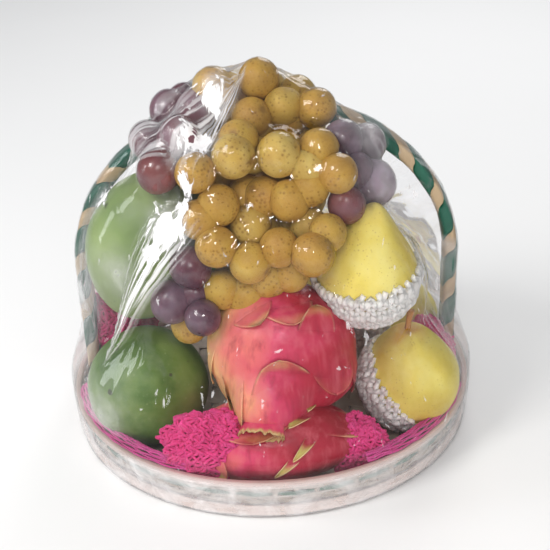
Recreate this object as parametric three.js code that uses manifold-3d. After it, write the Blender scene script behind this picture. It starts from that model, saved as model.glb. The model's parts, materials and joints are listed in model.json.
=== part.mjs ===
// A fruit gift basket: a shallow round woven tray with an arched handle, heaped with fruit in
// foam nets and wrapped tight in clear film. Millimetres, +Z up, origin under the tray's middle.
import * as THREE from 'three'
import { mergeVertices } from 'three/addons/utils/BufferGeometryUtils.js'
import Module from 'manifold-3d'

const wasm = await Module()
wasm.setup()

const clearance = 0.35 // free space kept between pieces that lie on each other
const keepOut = 300 // side of the block that trims a net

const tray = { foot: 1.5, floor: 4.5, top: 21.5, baseRadius: 124.3, topRadius: 128, wall: 2.4 }
const weave = { columns: 32, rows: 5, relief: 0.55 }
const rimHoop = { inner: 126.2, outer: 130, low: 21.8, high: 27 }
const footHoop = { inner: 126.5, outer: 128.2, low: 1.5, high: 9 }
const handle = { halfSpan: 116.9, spring: 108, rise: 102.4, foot: 5, halfWidth: 8, halfThick: 3.6 }
const wrap = { start: 26, end: 12, width: 17, pitch: 33, inset: 0.9, thick: 0.8, stepsPerTurn: 6 }

const longanRadius = 12.2
const netThickness = 3.2
const film = { thick: 0.8, slack: 0.5, columns: 32, rows: 12, centre: 95, lastAngle: 113, start: 185 }

// The tray's skirt of film, from the rim down and in under the base: [radius, height] outside, then inside.
const skirt = [
  { out: [131.8, 29], in: [130.9, 29] },
  { out: [131.6, 21], in: [130.6, 21] },
  { out: [130, 9.5], in: [129.1, 9.5] },
  { out: [129.4, 1.6], in: [128.6, 2] },
  { out: [127.8, 0], in: [127.2, 0.8] },
  { out: [98, 0], in: [98, 0.8] },
]

// Large fruit. Centre and half sizes; turn is about X, Y and Z in degrees.
const mangoes = {
  mango_lower: { centre: [-77, -47, 44.5], semi: [38, 37, 39], turn: [62, 0, -30] },
  mango_upper: { centre: [-72, -25, 131], semi: [39, 35, 50], turn: [0, 22, 20] },
  mango_back: { centre: [-44, 62, 62], semi: [37, 35, 49], turn: [0, 76, 12] },
}
const dragonfruits = {
  dragonfruit_upper: {
    centre: [7, -66, 80], semi: [45, 36, 41], flowerEnd: [0.3, -0.4, -0.87], seed: 3,
    rings: [[50, 4, 34], [92, 5, 36], [132, 4, 32]],
  },
  dragonfruit_lower: {
    centre: [0, -92, 31], semi: [52, 27, 25.5], flowerEnd: [0.95, -0.25, -0.1], seed: 8,
    rings: [[75, 4, 28]],
  },
}
const pears = {
  pear_upper: { centre: [59.5, -54, 121], semi: [30, 30, 29.5], turn: [0, 6, 0], neck: 0.5, rise: 1.57, stem: 0 },
  pear_lower: { centre: [87, -50.5, 45.5], semi: [31, 31, 33], turn: [0, -3, 0], neck: 0.25, rise: 1.12, stem: 10 },
  pear_side: { centre: [83, 18.5, 49], semi: [30, 30, 31], neck: 0.45, rise: 1.28, stem: 9 },
  pear_back: { centre: [40, 69, 44], semi: [30.5, 30.5, 31], neck: 0.4, rise: 1.22, stem: 10 },
}
const foamNets = {
  net_upper: { on: 'pear_upper', open: [-0.13, -0.07, 1], height: 2.5 },
  net_lower: { on: 'pear_lower', open: [0.75, -0.19, 0.61], height: -4 },
  net_side: { on: 'pear_side', open: [0.1, 0.15, 1], height: 6 },
  net_back: { on: 'pear_back', open: [0, 0.3, 1], height: 2 },
}

// Longans that show in front: across, height and diameter, row by row from the top. Each lies on the
// pile's slope, and proud says how far it stands out of it towards the front.
const slope = {
  heights: [95, 124, 140, 155, 170, 185, 200, 212, 228],
  back: [70, 70, 70, 66, 59, 51, 40, 26, 4],
}
const longanRows = [
  { proud: 0, fruit: [[-27, 225, 25], [0, 228, 25]] },
  { proud: -8, fruit: [[-5, 210, 24.5], [14, 214, 24], [33, 213, 24.5]] },
  { proud: 4, fruit: [[-13, 204, 24], [26, 190, 22.5], [33, 199, 23.5]] },
  { proud: 8, fruit: [[-16, 198, 26.5], [10, 198, 27], [-38, 191, 24], [43, 188, 23.5]] },
  { proud: 1, fruit: [[15, 173, 25], [-26, 172, 25], [-37, 165, 24], [27, 179, 23]] },
  { proud: -8, fruit: [[1, 172, 25], [26, 156, 23], [-8, 157, 25.5]] },
  { proud: 5, fruit: [[-28, 152, 24.5], [8, 150, 23.5], [36, 157, 23], [-9, 142, 24.5]] },
  { proud: 13, fruit: [[27, 149, 26]] },
  { proud: -4, fruit: [[-27, 121, 24.5], [-13, 117, 24.5], [1, 127, 24], [14, 130, 23.5]] },
]
const proudBack = 4
const backRows = [
  { height: 213, count: 3 }, { height: 191, count: 4 }, { height: 168, count: 5 }, { height: 145, count: 5 },
]

// The pile's core, from the tray floor up: height, middle across, middle back, half width, half depth.
const coreRings = [
  [5, -2, -2, 26, 24], [104, -2, -2, 27, 25], [120, -4, -20, 28, 37], [150, -2, -20, 31, 40],
  [172, 0, -14, 34, 38], [192, 0, -6, 32, 32], [208, 2, -3, 27, 22], [221, -8, 0, 15, 12],
]

// Grapes, each bunch one piece: across, back, height and diameter.
const grapeBunches = {
  grapes_left_top: [
    [-60, -44, 188, 26], [-65, -24, 199, 24.5], [-48, -33, 204, 25], [-54, -6, 211, 24],
    [-38, -14, 213, 24], [-46, 14, 208, 24],
  ],
  grapes_left_low: [[-44, -67, 137, 24.5], [-56, -66, 114, 26], [-38, -79.5, 110, 22], [-42, -66, 118, 20]],
  grapes_right: [
    [62, -20, 190, 24], [65, -36, 172, 27], [48, -56, 168, 22.5], [48, -30, 197, 24], [54, -40, 182, 22],
  ],
}

// Crumpled foam nets: centre and half sizes, and the bands that lie along the rim.
const crumples = {
  pink_net_left: { centre: [-40, -104, 34], semi: [28, 12.5, 20] },
  pink_net_right: { centre: [52, -94, 27], semi: [19, 11.5, 22] },
  pink_net_left_back: { centre: [-96, 12, 56], semi: [21, 24, 34] },
  pink_net_right_back: { centre: [101, -10, 36], semi: [20, 18, 26] },
}
const rimBands = {
  pink_band_left: { from: 190, to: 246, inner: 113, outer: 128.6, low: 27.4, high: 33 },
  pink_band_right: { from: 296, to: 345, inner: 113, outer: 128.6, low: 27.4, high: 33 },
}

const looks = {
  straw: { color: 0xd9c7a0, roughness: 0.7 }, hoop: { color: 0xe4cdb8, roughness: 0.65 },
  cane: { color: 0xc9ac82, roughness: 0.6 }, greenCane: { color: 0x0d6b4a, roughness: 0.45 },
  longan: { color: 0xb98a35, roughness: 0.6 }, grape: { color: 0x4b2430, roughness: 0.35 },
  mango: { color: 0x5f7f3c, roughness: 0.5 }, pear: { color: 0xdcc650, roughness: 0.5 },
  dragonfruit: { color: 0xc22a50, roughness: 0.4 }, whiteFoam: { color: 0xe9e6e1, roughness: 0.8 },
  pinkFoam: { color: 0xd12a7e, roughness: 0.7 }, clear: { color: 0xffffff, roughness: 0.1 },
}

const radians = THREE.MathUtils.degToRad
const smooth = THREE.MathUtils.smoothstep

// Two small tools between three.js geometry and solids that can be joined and cut.

function toSolid(geometry) {
  const bare = geometry.clone()
  bare.deleteAttribute('normal')
  bare.deleteAttribute('uv')
  const merged = mergeVertices(bare, 1e-4)
  const source = merged.index.array
  const kept = []
  for (let i = 0; i < source.length; i += 3) {
    const [a, b, c] = [source[i], source[i + 1], source[i + 2]]
    if (a !== b && b !== c && c !== a) kept.push(a, b, c)
  }
  const vertProperties = Float32Array.from(merged.attributes.position.array)
  return new wasm.Manifold(new wasm.Mesh({ numProp: 3, vertProperties, triVerts: Uint32Array.from(kept) }))
}

function toGeometry(solid) {
  const mesh = solid.getMesh()
  const geometry = new THREE.BufferGeometry()
  geometry.setAttribute('position', new THREE.BufferAttribute(Float32Array.from(mesh.vertProperties), 3))
  geometry.setIndex(new THREE.BufferAttribute(Uint32Array.from(mesh.triVerts), 1))
  geometry.computeVertexNormals()
  return geometry
}

const joined = (solids) => solids.reduce((whole, next) => whole.add(next))

function largestPiece(solid) {
  const parts = solid.decompose()
  return parts.reduce((best, next) => (next.volume() > best.volume() ? next : best))
}

// A closed body through equal rings of points, capped at both ends.
function loft(rings) {
  const count = rings[0].length
  const points = rings.flat()
  const index = []
  for (let r = 0; r + 1 < rings.length; r++) {
    for (let k = 0; k < count; k++) {
      const [a, b] = [r * count + k, r * count + ((k + 1) % count)]
      index.push(a, b, b + count, a, b + count, a + count)
    }
  }
  const last = (rings.length - 1) * count
  for (let k = 1; k + 1 < count; k++) {
    index.push(0, k + 1, k, last, last + k, last + k + 1)
  }
  return facingOut(points, index)
}

function facingOut(points, index) {
  let volume = 0
  for (let i = 0; i < index.length; i += 3) {
    const [a, b, c] = [points[index[i]], points[index[i + 1]], points[index[i + 2]]]
    volume += a.dot(b.clone().cross(c))
  }
  const geometry = new THREE.BufferGeometry().setFromPoints(points)
  geometry.setIndex(volume < 0 ? index.slice().reverse() : index)
  return geometry
}

// A ball-like body: a faceted unit ball, given its form, then its half sizes, turn and place.
function body({ centre, semi, turn = [0, 0, 0] }, detail, form = (point) => point, grow = 0) {
  const geometry = new THREE.IcosahedronGeometry(1, detail)
  const at = geometry.attributes.position
  const place = new THREE.Matrix4().makeRotationFromEuler(new THREE.Euler(...turn.map(radians)))
  place.setPosition(...centre)
  const point = new THREE.Vector3()
  for (let i = 0; i < at.count; i++) {
    form(point.fromBufferAttribute(at, i))
    point.set(point.x * (semi[0] + grow), point.y * (semi[1] + grow), point.z * (semi[2] + grow))
    point.applyMatrix4(place)
    at.setXYZ(i, point.x, point.y, point.z)
  }
  return toSolid(geometry)
}

// A small round fruit with few sides, a little larger across its corners so that it keeps its bulk.
function ball(x, y, z, radius, plain = false) {
  const geometry = plain ? new THREE.IcosahedronGeometry(radius * 1.08, 0)
    : new THREE.OctahedronGeometry(radius * 1.04, 1)
  return toSolid(geometry.rotateZ(x + y).rotateX(z).translate(x, y, z))
}

// Tray: a round wall and floor, its outside raised and sunk where the strips pass over and under.

function trayBody() {
  const outer = []
  for (let row = 0; row <= weave.rows; row++) {
    const share = row / weave.rows
    const radius = THREE.MathUtils.lerp(tray.baseRadius, tray.topRadius, share)
    outer.push(new THREE.Vector2(radius, THREE.MathUtils.lerp(tray.foot, tray.top, share)))
  }
  const profile = [
    new THREE.Vector2(0, tray.foot), ...outer,
    new THREE.Vector2(tray.topRadius - tray.wall, tray.top),
    new THREE.Vector2(tray.baseRadius - tray.wall, tray.floor), new THREE.Vector2(0, tray.floor),
  ]
  const geometry = new THREE.LatheGeometry(profile, weave.columns).rotateX(Math.PI / 2)
  const at = geometry.attributes.position
  const step = (tray.top - tray.foot) / weave.rows
  for (let i = 0; i < at.count; i++) {
    const radius = Math.hypot(at.getX(i), at.getY(i))
    const row = Math.round((at.getZ(i) - tray.foot) / step)
    const outside = radius > THREE.MathUtils.lerp(tray.baseRadius, tray.topRadius, row / weave.rows) - 0.1
    if (!outside || row === 0 || row === weave.rows) continue
    const column = Math.round((Math.atan2(at.getY(i), at.getX(i)) / (2 * Math.PI)) * weave.columns)
    const wanted = radius + ((Math.abs(column) + row) % 2 ? weave.relief : -weave.relief)
    at.setXY(i, (at.getX(i) * wanted) / radius, (at.getY(i) * wanted) / radius)
  }
  return toSolid(upright(geometry))
}

// A lathed body that was turned onto +Z keeps its faces out whichever way its profile runs.
function upright(geometry) {
  const points = []
  const at = geometry.attributes.position
  for (let i = 0; i < at.count; i++) points.push(new THREE.Vector3().fromBufferAttribute(at, i))
  return facingOut(points, Array.from(geometry.index.array))
}

function hoopBody(hoop, grow = 0) {
  const [inner, outer] = [hoop.inner - grow, hoop.outer + grow]
  const [low, high] = [hoop.low - grow, hoop.high + grow]
  const middle = (low + high) / 2
  const bevel = (outer - inner) * 0.3
  const profile = [
    [inner, low], [outer - bevel, low], [outer, middle], [outer - bevel, high], [inner, high], [inner, low],
  ].map(([radius, height]) => new THREE.Vector2(radius, height))
  return toSolid(upright(new THREE.LatheGeometry(profile, weave.columns).rotateX(Math.PI / 2)))
}

// Handle: a flat band up one side, over in half an ellipse and down the other.

function archPoint(share) {
  const leg = handle.spring - handle.foot
  const arc = Math.PI * Math.sqrt((handle.halfSpan ** 2 + handle.rise ** 2) / 2)
  const along = share * (2 * leg + arc)
  if (along < leg) {
    const height = handle.foot + along
    return { at: new THREE.Vector3(-handle.halfSpan, 0, height), out: new THREE.Vector3(-1, 0, 0) }
  }
  if (along > leg + arc) {
    const height = handle.spring - (along - leg - arc)
    return { at: new THREE.Vector3(handle.halfSpan, 0, height), out: new THREE.Vector3(1, 0, 0) }
  }
  const angle = Math.PI * (1 - (along - leg) / arc)
  const [c, s] = [Math.cos(angle), Math.sin(angle)]
  const at = new THREE.Vector3(handle.halfSpan * c, 0, handle.spring + handle.rise * s)
  return { at, out: new THREE.Vector3(c / handle.halfSpan, 0, s / handle.rise).normalize() }
}

const archLength = 2 * (handle.spring - handle.foot)
  + Math.PI * Math.sqrt((handle.halfSpan ** 2 + handle.rise ** 2) / 2)

// The corners of the band's six-sided section, moved out by an offset: across the width, then outward.
function bandCorners(offset) {
  const edge = handle.halfWidth - 2.5
  const slant = 0.44 * offset
  const side = handle.halfWidth + 1.35 * offset
  const face = handle.halfThick + offset
  return [[side, 0], [edge + slant, face], [-edge - slant, face], [-side, 0], [-edge - slant, -face],
    [edge + slant, -face]]
}

function bandPoint(share, [across, outward]) {
  const { at, out } = archPoint(share)
  return at.clone().addScaledVector(out, outward).add(new THREE.Vector3(0, across, 0))
}

function handleBody(offset = 0) {
  const steps = 36
  const rings = []
  for (let i = 0; i <= steps; i++) {
    rings.push(bandCorners(offset).map((corner) => bandPoint(i / steps, corner)))
  }
  return toSolid(loft(rings))
}

// The green strip wound round the handle: four points for each corner it passes.
function wrapBody() {
  const inner = bandCorners(wrap.inset)
  const outer = bandCorners(wrap.inset + wrap.thick)
  const turns = (archLength - wrap.start - wrap.end) / wrap.pitch - 1
  const rings = []
  for (let k = 0; k <= Math.floor(turns * wrap.stepsPerTurn); k++) {
    const middle = wrap.start + (wrap.pitch * k) / wrap.stepsPerTurn
    const corner = k % inner.length
    const [low, high] = [(middle - wrap.width / 2) / archLength, (middle + wrap.width / 2) / archLength]
    rings.push([
      bandPoint(low, inner[corner]), bandPoint(high, inner[corner]),
      bandPoint(high, outer[corner]), bandPoint(low, outer[corner]),
    ])
  }
  return toSolid(loft(rings))
}

// Fruit forms, worked on the unit ball with the stem end up.

function mangoForm(point) {
  const wide = 1 + 0.08 * point.z - 0.05 * point.z ** 2
  const beak = point.z < 0 ? 0.12 * point.z ** 2 : 0
  return point.set(point.x * wide + beak, point.y * wide, point.z)
}

function pearForm({ neck, rise }) {
  return (point) => {
    const narrow = 1 - neck * smooth(point.z, 0.1, 1) * 0.9
    return point.set(point.x * narrow, point.y * narrow, point.z * (point.z > 0 ? rise : 1))
  }
}

function pearBody(pear, grow = 0) {
  const flesh = body(pear, 2, pearForm(pear), grow)
  if (!pear.stem) return flesh
  const stalk = new THREE.CylinderGeometry(1.9 + grow, 1.4 + grow, pear.stem + 6, 6).rotateX(Math.PI / 2)
  const turn = new THREE.Euler(...(pear.turn ?? [0, 0, 0]).map(radians))
  const top = new THREE.Vector3(0, 0, pear.semi[2] * pear.rise).applyEuler(turn)
  top.add(new THREE.Vector3(...pear.centre))
  stalk.translate(top.x, top.y, top.z + pear.stem / 2 - 3)
  return flesh.add(toSolid(stalk))
}

function netBody({ on, open, height }) {
  const pear = pears[on]
  const form = pearForm(pear)
  const shell = body(pear, 2, form, netThickness).subtract(body(pear, 2, form, clearance))
  const normal = new THREE.Vector3(...open).normalize()
  const block = new THREE.BoxGeometry(keepOut, keepOut, keepOut).translate(0, 0, keepOut / 2 + height)
  block.applyQuaternion(new THREE.Quaternion().setFromUnitVectors(new THREE.Vector3(0, 0, 1), normal))
  block.translate(...pear.centre)
  return shell.subtract(toSolid(block))
}

// One leafy scale: it leaves the skin at root, runs towards tip and lifts off as it narrows.
function scaleBody({ centre, semi }, root, heading, length, width, lift, grow) {
  const middle = new THREE.Vector3(...centre)
  const size = new THREE.Vector3(...semi)
  const side = root.clone().cross(heading).normalize()
  const onSkin = (direction) => direction.clone().normalize().multiply(size)
  const rings = []
  const steps = 3
  for (let i = 0; i <= steps; i++) {
    const share = i / steps
    const turn = (share * (length + grow)) / size.y
    const ahead = root.clone().multiplyScalar(Math.cos(turn)).addScaledVector(heading, Math.sin(turn))
    const half = (width / 2) * (1 - share) ** 0.55 + 0.7 + grow
    const raise = lift * share ** 2
    const normal = ahead.clone().divide(size).normalize()
    const flank = side.clone().multiplyScalar(half / size.y)
    const spine = onSkin(ahead).addScaledVector(normal, raise)
    const thick = 2.6 * (1 - share) + 0.9 + grow
    rings.push([
      onSkin(ahead.clone().add(flank)).addScaledVector(normal, raise * 0.8 - 0.4),
      spine.clone().addScaledVector(normal, thick),
      onSkin(ahead.clone().sub(flank)).addScaledVector(normal, raise * 0.8 - 0.4),
      spine.clone().addScaledVector(normal, -2.5 * (1 - share) - 0.6 - grow),
    ].map((point) => point.add(middle)))
  }
  return toSolid(loft(rings))
}

function dragonfruitBody(fruit, grow = 0) {
  const flesh = body(fruit, 2, undefined, grow)
  const flower = new THREE.Vector3(...fruit.flowerEnd).normalize()
  const across = new THREE.Vector3(0, 0, 1).cross(flower).normalize()
  const third = flower.clone().cross(across)
  const scales = []
  fruit.rings.forEach(([fromStem, count, length], ring) => {
    for (let k = 0; k < count; k++) {
      const around = ((k + 0.5 * (ring % 2)) / count) * 2 * Math.PI + fruit.seed
      const spread = across.clone().multiplyScalar(Math.cos(around)).addScaledVector(third, Math.sin(around))
      const angle = radians(fromStem)
      const root = flower.clone().multiplyScalar(-Math.cos(angle)).addScaledVector(spread, Math.sin(angle))
      if (root.y > 0.3 || root.z < -0.75) continue
      const heading = flower.clone().multiplyScalar(Math.sin(angle)).addScaledVector(spread, Math.cos(angle))
      scales.push(scaleBody(fruit, root, heading, length, length * 0.8, 4 + 2 * ring, grow))
    }
  })
  return joined([flesh, ...scales])
}

// The pile: a core from the floor up, with the longans that show fused to it.

function ringAt(height) {
  const next = Math.max(1, coreRings.findIndex((ring) => ring[0] >= height))
  const [low, high] = [coreRings[next - 1], coreRings[next]]
  const share = (height - low[0]) / (high[0] - low[0])
  return low.map((value, i) => THREE.MathUtils.lerp(value, high[i], share))
}

function slopeBack(height) {
  const next = Math.max(1, slope.heights.findIndex((value) => value >= height))
  const share = (height - slope.heights[next - 1]) / (slope.heights[next] - slope.heights[next - 1])
  return THREE.MathUtils.lerp(slope.back[next - 1], slope.back[next], share)
}

function longanPlaces() {
  const places = []
  for (const { proud, fruit } of longanRows) {
    for (const [across, height, diameter] of fruit) {
      places.push([across, -slopeBack(height) - proud, height, diameter / 2])
    }
  }
  backRows.forEach(({ height, count }, row) => {
    const [, midX, midY, halfX, halfY] = ringAt(height)
    for (let k = 0; k < count; k++) {
      const share = (k + 0.5 + 0.25 * (row % 2 ? 1 : -1)) / count
      const angle = radians(THREE.MathUtils.lerp(8, 172, share))
      const swell = longanRadius * (1 + 0.06 * Math.sin(7 * k + 3 * row))
      const [c, s] = [Math.cos(angle), Math.sin(angle)]
      places.push([midX + (halfX + proudBack) * c, midY + (halfY + proudBack) * s, height, swell, true])
    }
  })
  return places
}

function longanBunch(grow = 0) {
  const sides = 9
  const rings = coreRings.map(([height, midX, midY, halfX, halfY], i) => {
    const raised = height + (i === coreRings.length - 1 ? grow : 0)
    return Array.from({ length: sides }, (_, k) => {
      const angle = (k / sides) * 2 * Math.PI
      const [c, s] = [Math.cos(angle), Math.sin(angle)]
      return new THREE.Vector3(midX + (halfX + grow) * c, midY + (halfY + grow) * s, raised)
    })
  })
  const balls = longanPlaces().map(([x, y, z, radius, plain]) => ball(x, y, z, radius + grow, plain))
  return joined([toSolid(loft(rings)), ...balls])
}

const grapeBunch = (places, grow = 0) => joined(
  places.map(([x, y, z, diameter]) => ball(x, y, z, diameter / 2 + grow)))

// Foam nets pushed into the gaps, as lumps, and pulled along the rim, as bands.

function crumpleForm(point) {
  const bump = Math.sin(6 * point.x + 2) * Math.cos(5 * point.z + 1) + Math.sin(7 * point.y)
  return point.multiplyScalar(1 + 0.07 * bump)
}

function rimBand({ from, to, inner, outer, low, high }) {
  const steps = 12
  const rings = []
  for (let i = 0; i <= steps; i++) {
    const angle = radians(THREE.MathUtils.lerp(from, to, i / steps))
    const end = Math.sin((Math.PI * (i + 0.6)) / (steps + 1.2))
    const [c, s] = [Math.cos(angle), Math.sin(angle)]
    const near = outer - (outer - inner) * (0.25 + 0.75 * end)
    const tall = low + (high - low) * (0.35 + 0.65 * end)
    rings.push([[near, low], [outer, low], [outer - 1, tall], [near + 2, tall]].map(
      ([radius, height]) => new THREE.Vector3(radius * c, radius * s, height)))
  }
  return toSolid(loft(rings))
}

// Film: a thin skin drawn tight over everything, tucked in under the base and open there.

function filmDirection(row, column) {
  const tilt = radians((film.lastAngle * row) / film.rows)
  const around = (2 * Math.PI * column) / film.columns
  const level = Math.sin(tilt)
  return new THREE.Vector3(level * Math.cos(around), level * Math.sin(around), Math.cos(tilt))
}

// Points spread over every face of a solid, about as close together as the step.
function facePoints(solid, step) {
  const { vertProperties: at, triVerts } = solid.getMesh()
  const corner = (i) => new THREE.Vector3(at[3 * i], at[3 * i + 1], at[3 * i + 2])
  const points = []
  for (let i = 0; i < triVerts.length; i += 3) {
    const [a, b, c] = [corner(triVerts[i]), corner(triVerts[i + 1]), corner(triVerts[i + 2])]
    const cuts = Math.max(1, Math.ceil(Math.max(a.distanceTo(b), b.distanceTo(c), c.distanceTo(a)) / step))
    for (let u = 0; u <= cuts; u++) {
      for (let v = 0; u + v <= cuts; v++) {
        const point = a.clone().multiplyScalar(1 - (u + v) / cuts)
        points.push(point.addScaledVector(b, u / cuts).addScaledVector(c, v / cuts))
      }
    }
  }
  return points
}

// Each point becomes a limit on the three film points round it: how far out the film must pass.
function filmLimits(solids) {
  const limits = []
  const matrix = new THREE.Matrix3()
  const slot = (row, column) => (row === 0 ? 0 : 1 + (row - 1) * film.columns + (column % film.columns))
  for (const solid of solids) {
    for (const point of facePoints(solid, 5)) {
      point.z -= film.centre
      const distance = point.length()
      const direction = point.divideScalar(distance)
      const row = Math.floor((THREE.MathUtils.radToDeg(Math.acos(direction.z)) * film.rows) / film.lastAngle)
      if (row >= film.rows) continue
      const turn = (Math.atan2(direction.y, direction.x) / (2 * Math.PI) + 1) % 1
      const column = Math.floor(turn * film.columns)
      const corners = [[row, column], [row + 1, column], [row + 1, column + 1], [row, column + 1]]
      for (const pick of [[0, 1, 2], [0, 2, 3]]) {
        if (row === 0 && pick[2] === 3) continue
        const rays = pick.map((k) => filmDirection(...corners[k]))
        matrix.set(...['x', 'y', 'z'].flatMap((axis) => rays.map((ray) => ray[axis])))
        const share = direction.clone().applyMatrix3(matrix.invert())
        if (Math.min(share.x, share.y, share.z) < -1e-6) continue
        limits.push({
          slots: pick.map((k) => slot(...corners[k])), share: share.toArray(),
          least: distance + film.thick + film.slack,
        })
        break
      }
    }
  }
  return limits
}

// Pulls the film in like a stretched skin, then pushes it out again wherever it would cut a piece.
function filmRadii(limits) {
  const count = 1 + film.rows * film.columns
  const rays = [filmDirection(0, 0)]
  for (let row = 1; row <= film.rows; row++) {
    for (let column = 0; column < film.columns; column++) rays.push(filmDirection(row, column))
  }
  const radii = new Array(count).fill(film.start)
  const wrapped = (column) => (column + film.columns) % film.columns
  const slot = (row, column) => (row === 0 ? 0 : 1 + (row - 1) * film.columns + wrapped(column))
  const hold = (strength) => {
    for (const { slots, share, least } of limits) {
      const reach = 1 / (share[0] / radii[slots[0]] + share[1] / radii[slots[1]] + share[2] / radii[slots[2]])
      if (reach >= least) continue
      const most = Math.max(...share)
      slots.forEach((index, k) => {
        radii[index] *= 1 + (least / reach - 1) * THREE.MathUtils.lerp(share[k] / most, 1, strength)
      })
    }
  }
  const [rimRadius, rimHeight] = skirt[0].out
  const rimAt = (column) => {
    const around = (2 * Math.PI * column) / film.columns
    const [x, y] = [rimRadius * Math.cos(around), rimRadius * Math.sin(around)]
    return new THREE.Vector3(x, y, rimHeight - film.centre)
  }
  for (let round = 0; round < 260; round++) {
    const before = radii.slice()
    const placed = (row, column) => rays[slot(row, column)].clone().multiplyScalar(before[slot(row, column)])
    for (let row = 1; row <= film.rows; row++) {
      for (let column = 0; column < film.columns; column++) {
        const middle = placed(row - 1, column).add(placed(row, column - 1)).add(placed(row, column + 1))
        middle.add(row === film.rows ? rimAt(column) : placed(row + 1, column)).divideScalar(4)
        const here = slot(row, column)
        radii[here] = THREE.MathUtils.lerp(before[here], middle.dot(rays[here]), 0.8)
      }
    }
    radii[0] = before.slice(1, 1 + film.columns).reduce((sum, r) => sum + r, 0) / film.columns
    radii[0] *= Math.cos(radians(film.lastAngle / film.rows))
    hold(0)
    hold(0)
  }
  for (let round = 0; round < 6; round++) hold(1)
  return { rays, radii }
}

function filmBody(solids) {
  const { rays, radii } = filmRadii(filmLimits(solids))
  const centre = new THREE.Vector3(0, 0, film.centre)
  const points = []
  const columns = film.columns
  const sheetStart = []
  for (const side of ['out', 'in']) {
    sheetStart.push(points.length)
    const inset = side === 'in' ? film.thick : 0
    rays.forEach((ray, i) => points.push(ray.clone().multiplyScalar(radii[i] - inset).add(centre)))
    for (const ring of skirt) {
      for (let column = 0; column < columns; column++) {
        const around = (2 * Math.PI * column) / columns
        const [radius, height] = ring[side]
        points.push(new THREE.Vector3(radius * Math.cos(around), radius * Math.sin(around), height))
      }
    }
  }
  const index = []
  const rows = film.rows + skirt.length
  const inSheet = (row, column) => (row === 0 ? 0 : 1 + (row - 1) * columns + (column % columns))
  const slot = (sheet, row, column) => sheetStart[sheet] + inSheet(row, column)
  const face = (flip, a, b, c) => (flip ? index.push(a, c, b) : index.push(a, b, c))
  for (const sheet of [0, 1]) {
    for (let column = 0; column < columns; column++) {
      face(sheet, slot(sheet, 0, 0), slot(sheet, 1, column), slot(sheet, 1, column + 1))
      for (let row = 1; row < rows; row++) {
        const [a, b] = [slot(sheet, row, column), slot(sheet, row + 1, column)]
        const [c, d] = [slot(sheet, row + 1, column + 1), slot(sheet, row, column + 1)]
        face(sheet, a, b, c)
        face(sheet, a, c, d)
      }
    }
  }
  for (let column = 0; column < columns; column++) {
    const [a, b] = [slot(0, rows, column), slot(0, rows, column + 1)]
    const [c, d] = [slot(1, rows, column + 1), slot(1, rows, column)]
    index.push(a, d, c, a, c, b)
  }
  return toSolid(facingOut(points, index))
}

// Assembly: each piece is cut clear of the ones it lies against, then named and coloured.

const group = new THREE.Group()
const finished = new Map()
const guards = new Map()

function add(name, look, solid, guard, against = []) {
  let piece = solid
  for (const other of against) piece = piece.subtract(guards.get(other))
  piece = largestPiece(piece)
  finished.set(name, piece)
  guards.set(name, guard ?? piece)
  const mesh = new THREE.Mesh(toGeometry(piece), new THREE.MeshStandardMaterial(looks[look]))
  mesh.name = name
  group.add(mesh)
}

add('tray', 'straw', trayBody())
add('rim_hoop', 'hoop', hoopBody(rimHoop), hoopBody(rimHoop, clearance))
add('foot_hoop', 'hoop', hoopBody(footHoop))
add('handle', 'cane', handleBody(), handleBody(wrap.inset + wrap.thick + clearance))
add('handle_wrap', 'greenCane', wrapBody())

for (const [name, pear] of Object.entries(pears)) {
  add(name, 'pear', pearBody(pear), pearBody(pear, clearance))
}
for (const [name, net] of Object.entries(foamNets)) {
  const grown = body(pears[net.on], 2, pearForm(pears[net.on]), netThickness + clearance)
  add(name, 'whiteFoam', netBody(net), grown, [...guards.keys()].filter((other) => other.startsWith('pear')
    && other !== net.on))
}
for (const [name, mango] of Object.entries(mangoes)) {
  add(name, 'mango', body(mango, 2, mangoForm), body(mango, 2, mangoForm, clearance), ['handle'])
}
for (const [name, fruit] of Object.entries(dragonfruits)) {
  const others = [...guards.keys()].filter((other) => /^(pear|net|mango|dragonfruit)/.test(other))
  add(name, 'dragonfruit', dragonfruitBody(fruit), dragonfruitBody(fruit, clearance), others)
}

const large = [...guards.keys()].filter((name) => /^(pear|net|mango|dragonfruit)/.test(name)).concat('handle')
add('longan_bunch', 'longan', longanBunch(), longanBunch(clearance), large)
for (const [name, places] of Object.entries(grapeBunches)) {
  add(name, 'grape', grapeBunch(places), grapeBunch(places, clearance), [...large, 'longan_bunch'])
}
for (const [name, crumple] of Object.entries(crumples)) {
  const others = [...guards.keys()].filter((other) => !/^(tray|foot|handle_wrap)/.test(other))
  add(name, 'pinkFoam', body(crumple, 1, crumpleForm), body(crumple, 1, crumpleForm, clearance), others)
}
for (const [name, band] of Object.entries(rimBands)) {
  const others = [...guards.keys()].filter((other) => !/^(tray|rim|foot|handle_wrap|pink_band)/.test(other))
  add(name, 'pinkFoam', rimBand(band), undefined, others)
}
add('film', 'clear', filmBody([...finished.values()]))

export default group
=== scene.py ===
import json
import random
from math import ceil, cos, pi, radians, sin, sqrt

import bmesh
import bpy
import numpy as np
from mathutils import Euler, Matrix, Quaternion, Vector, noise
from mathutils.bvhtree import BVHTree

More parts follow.
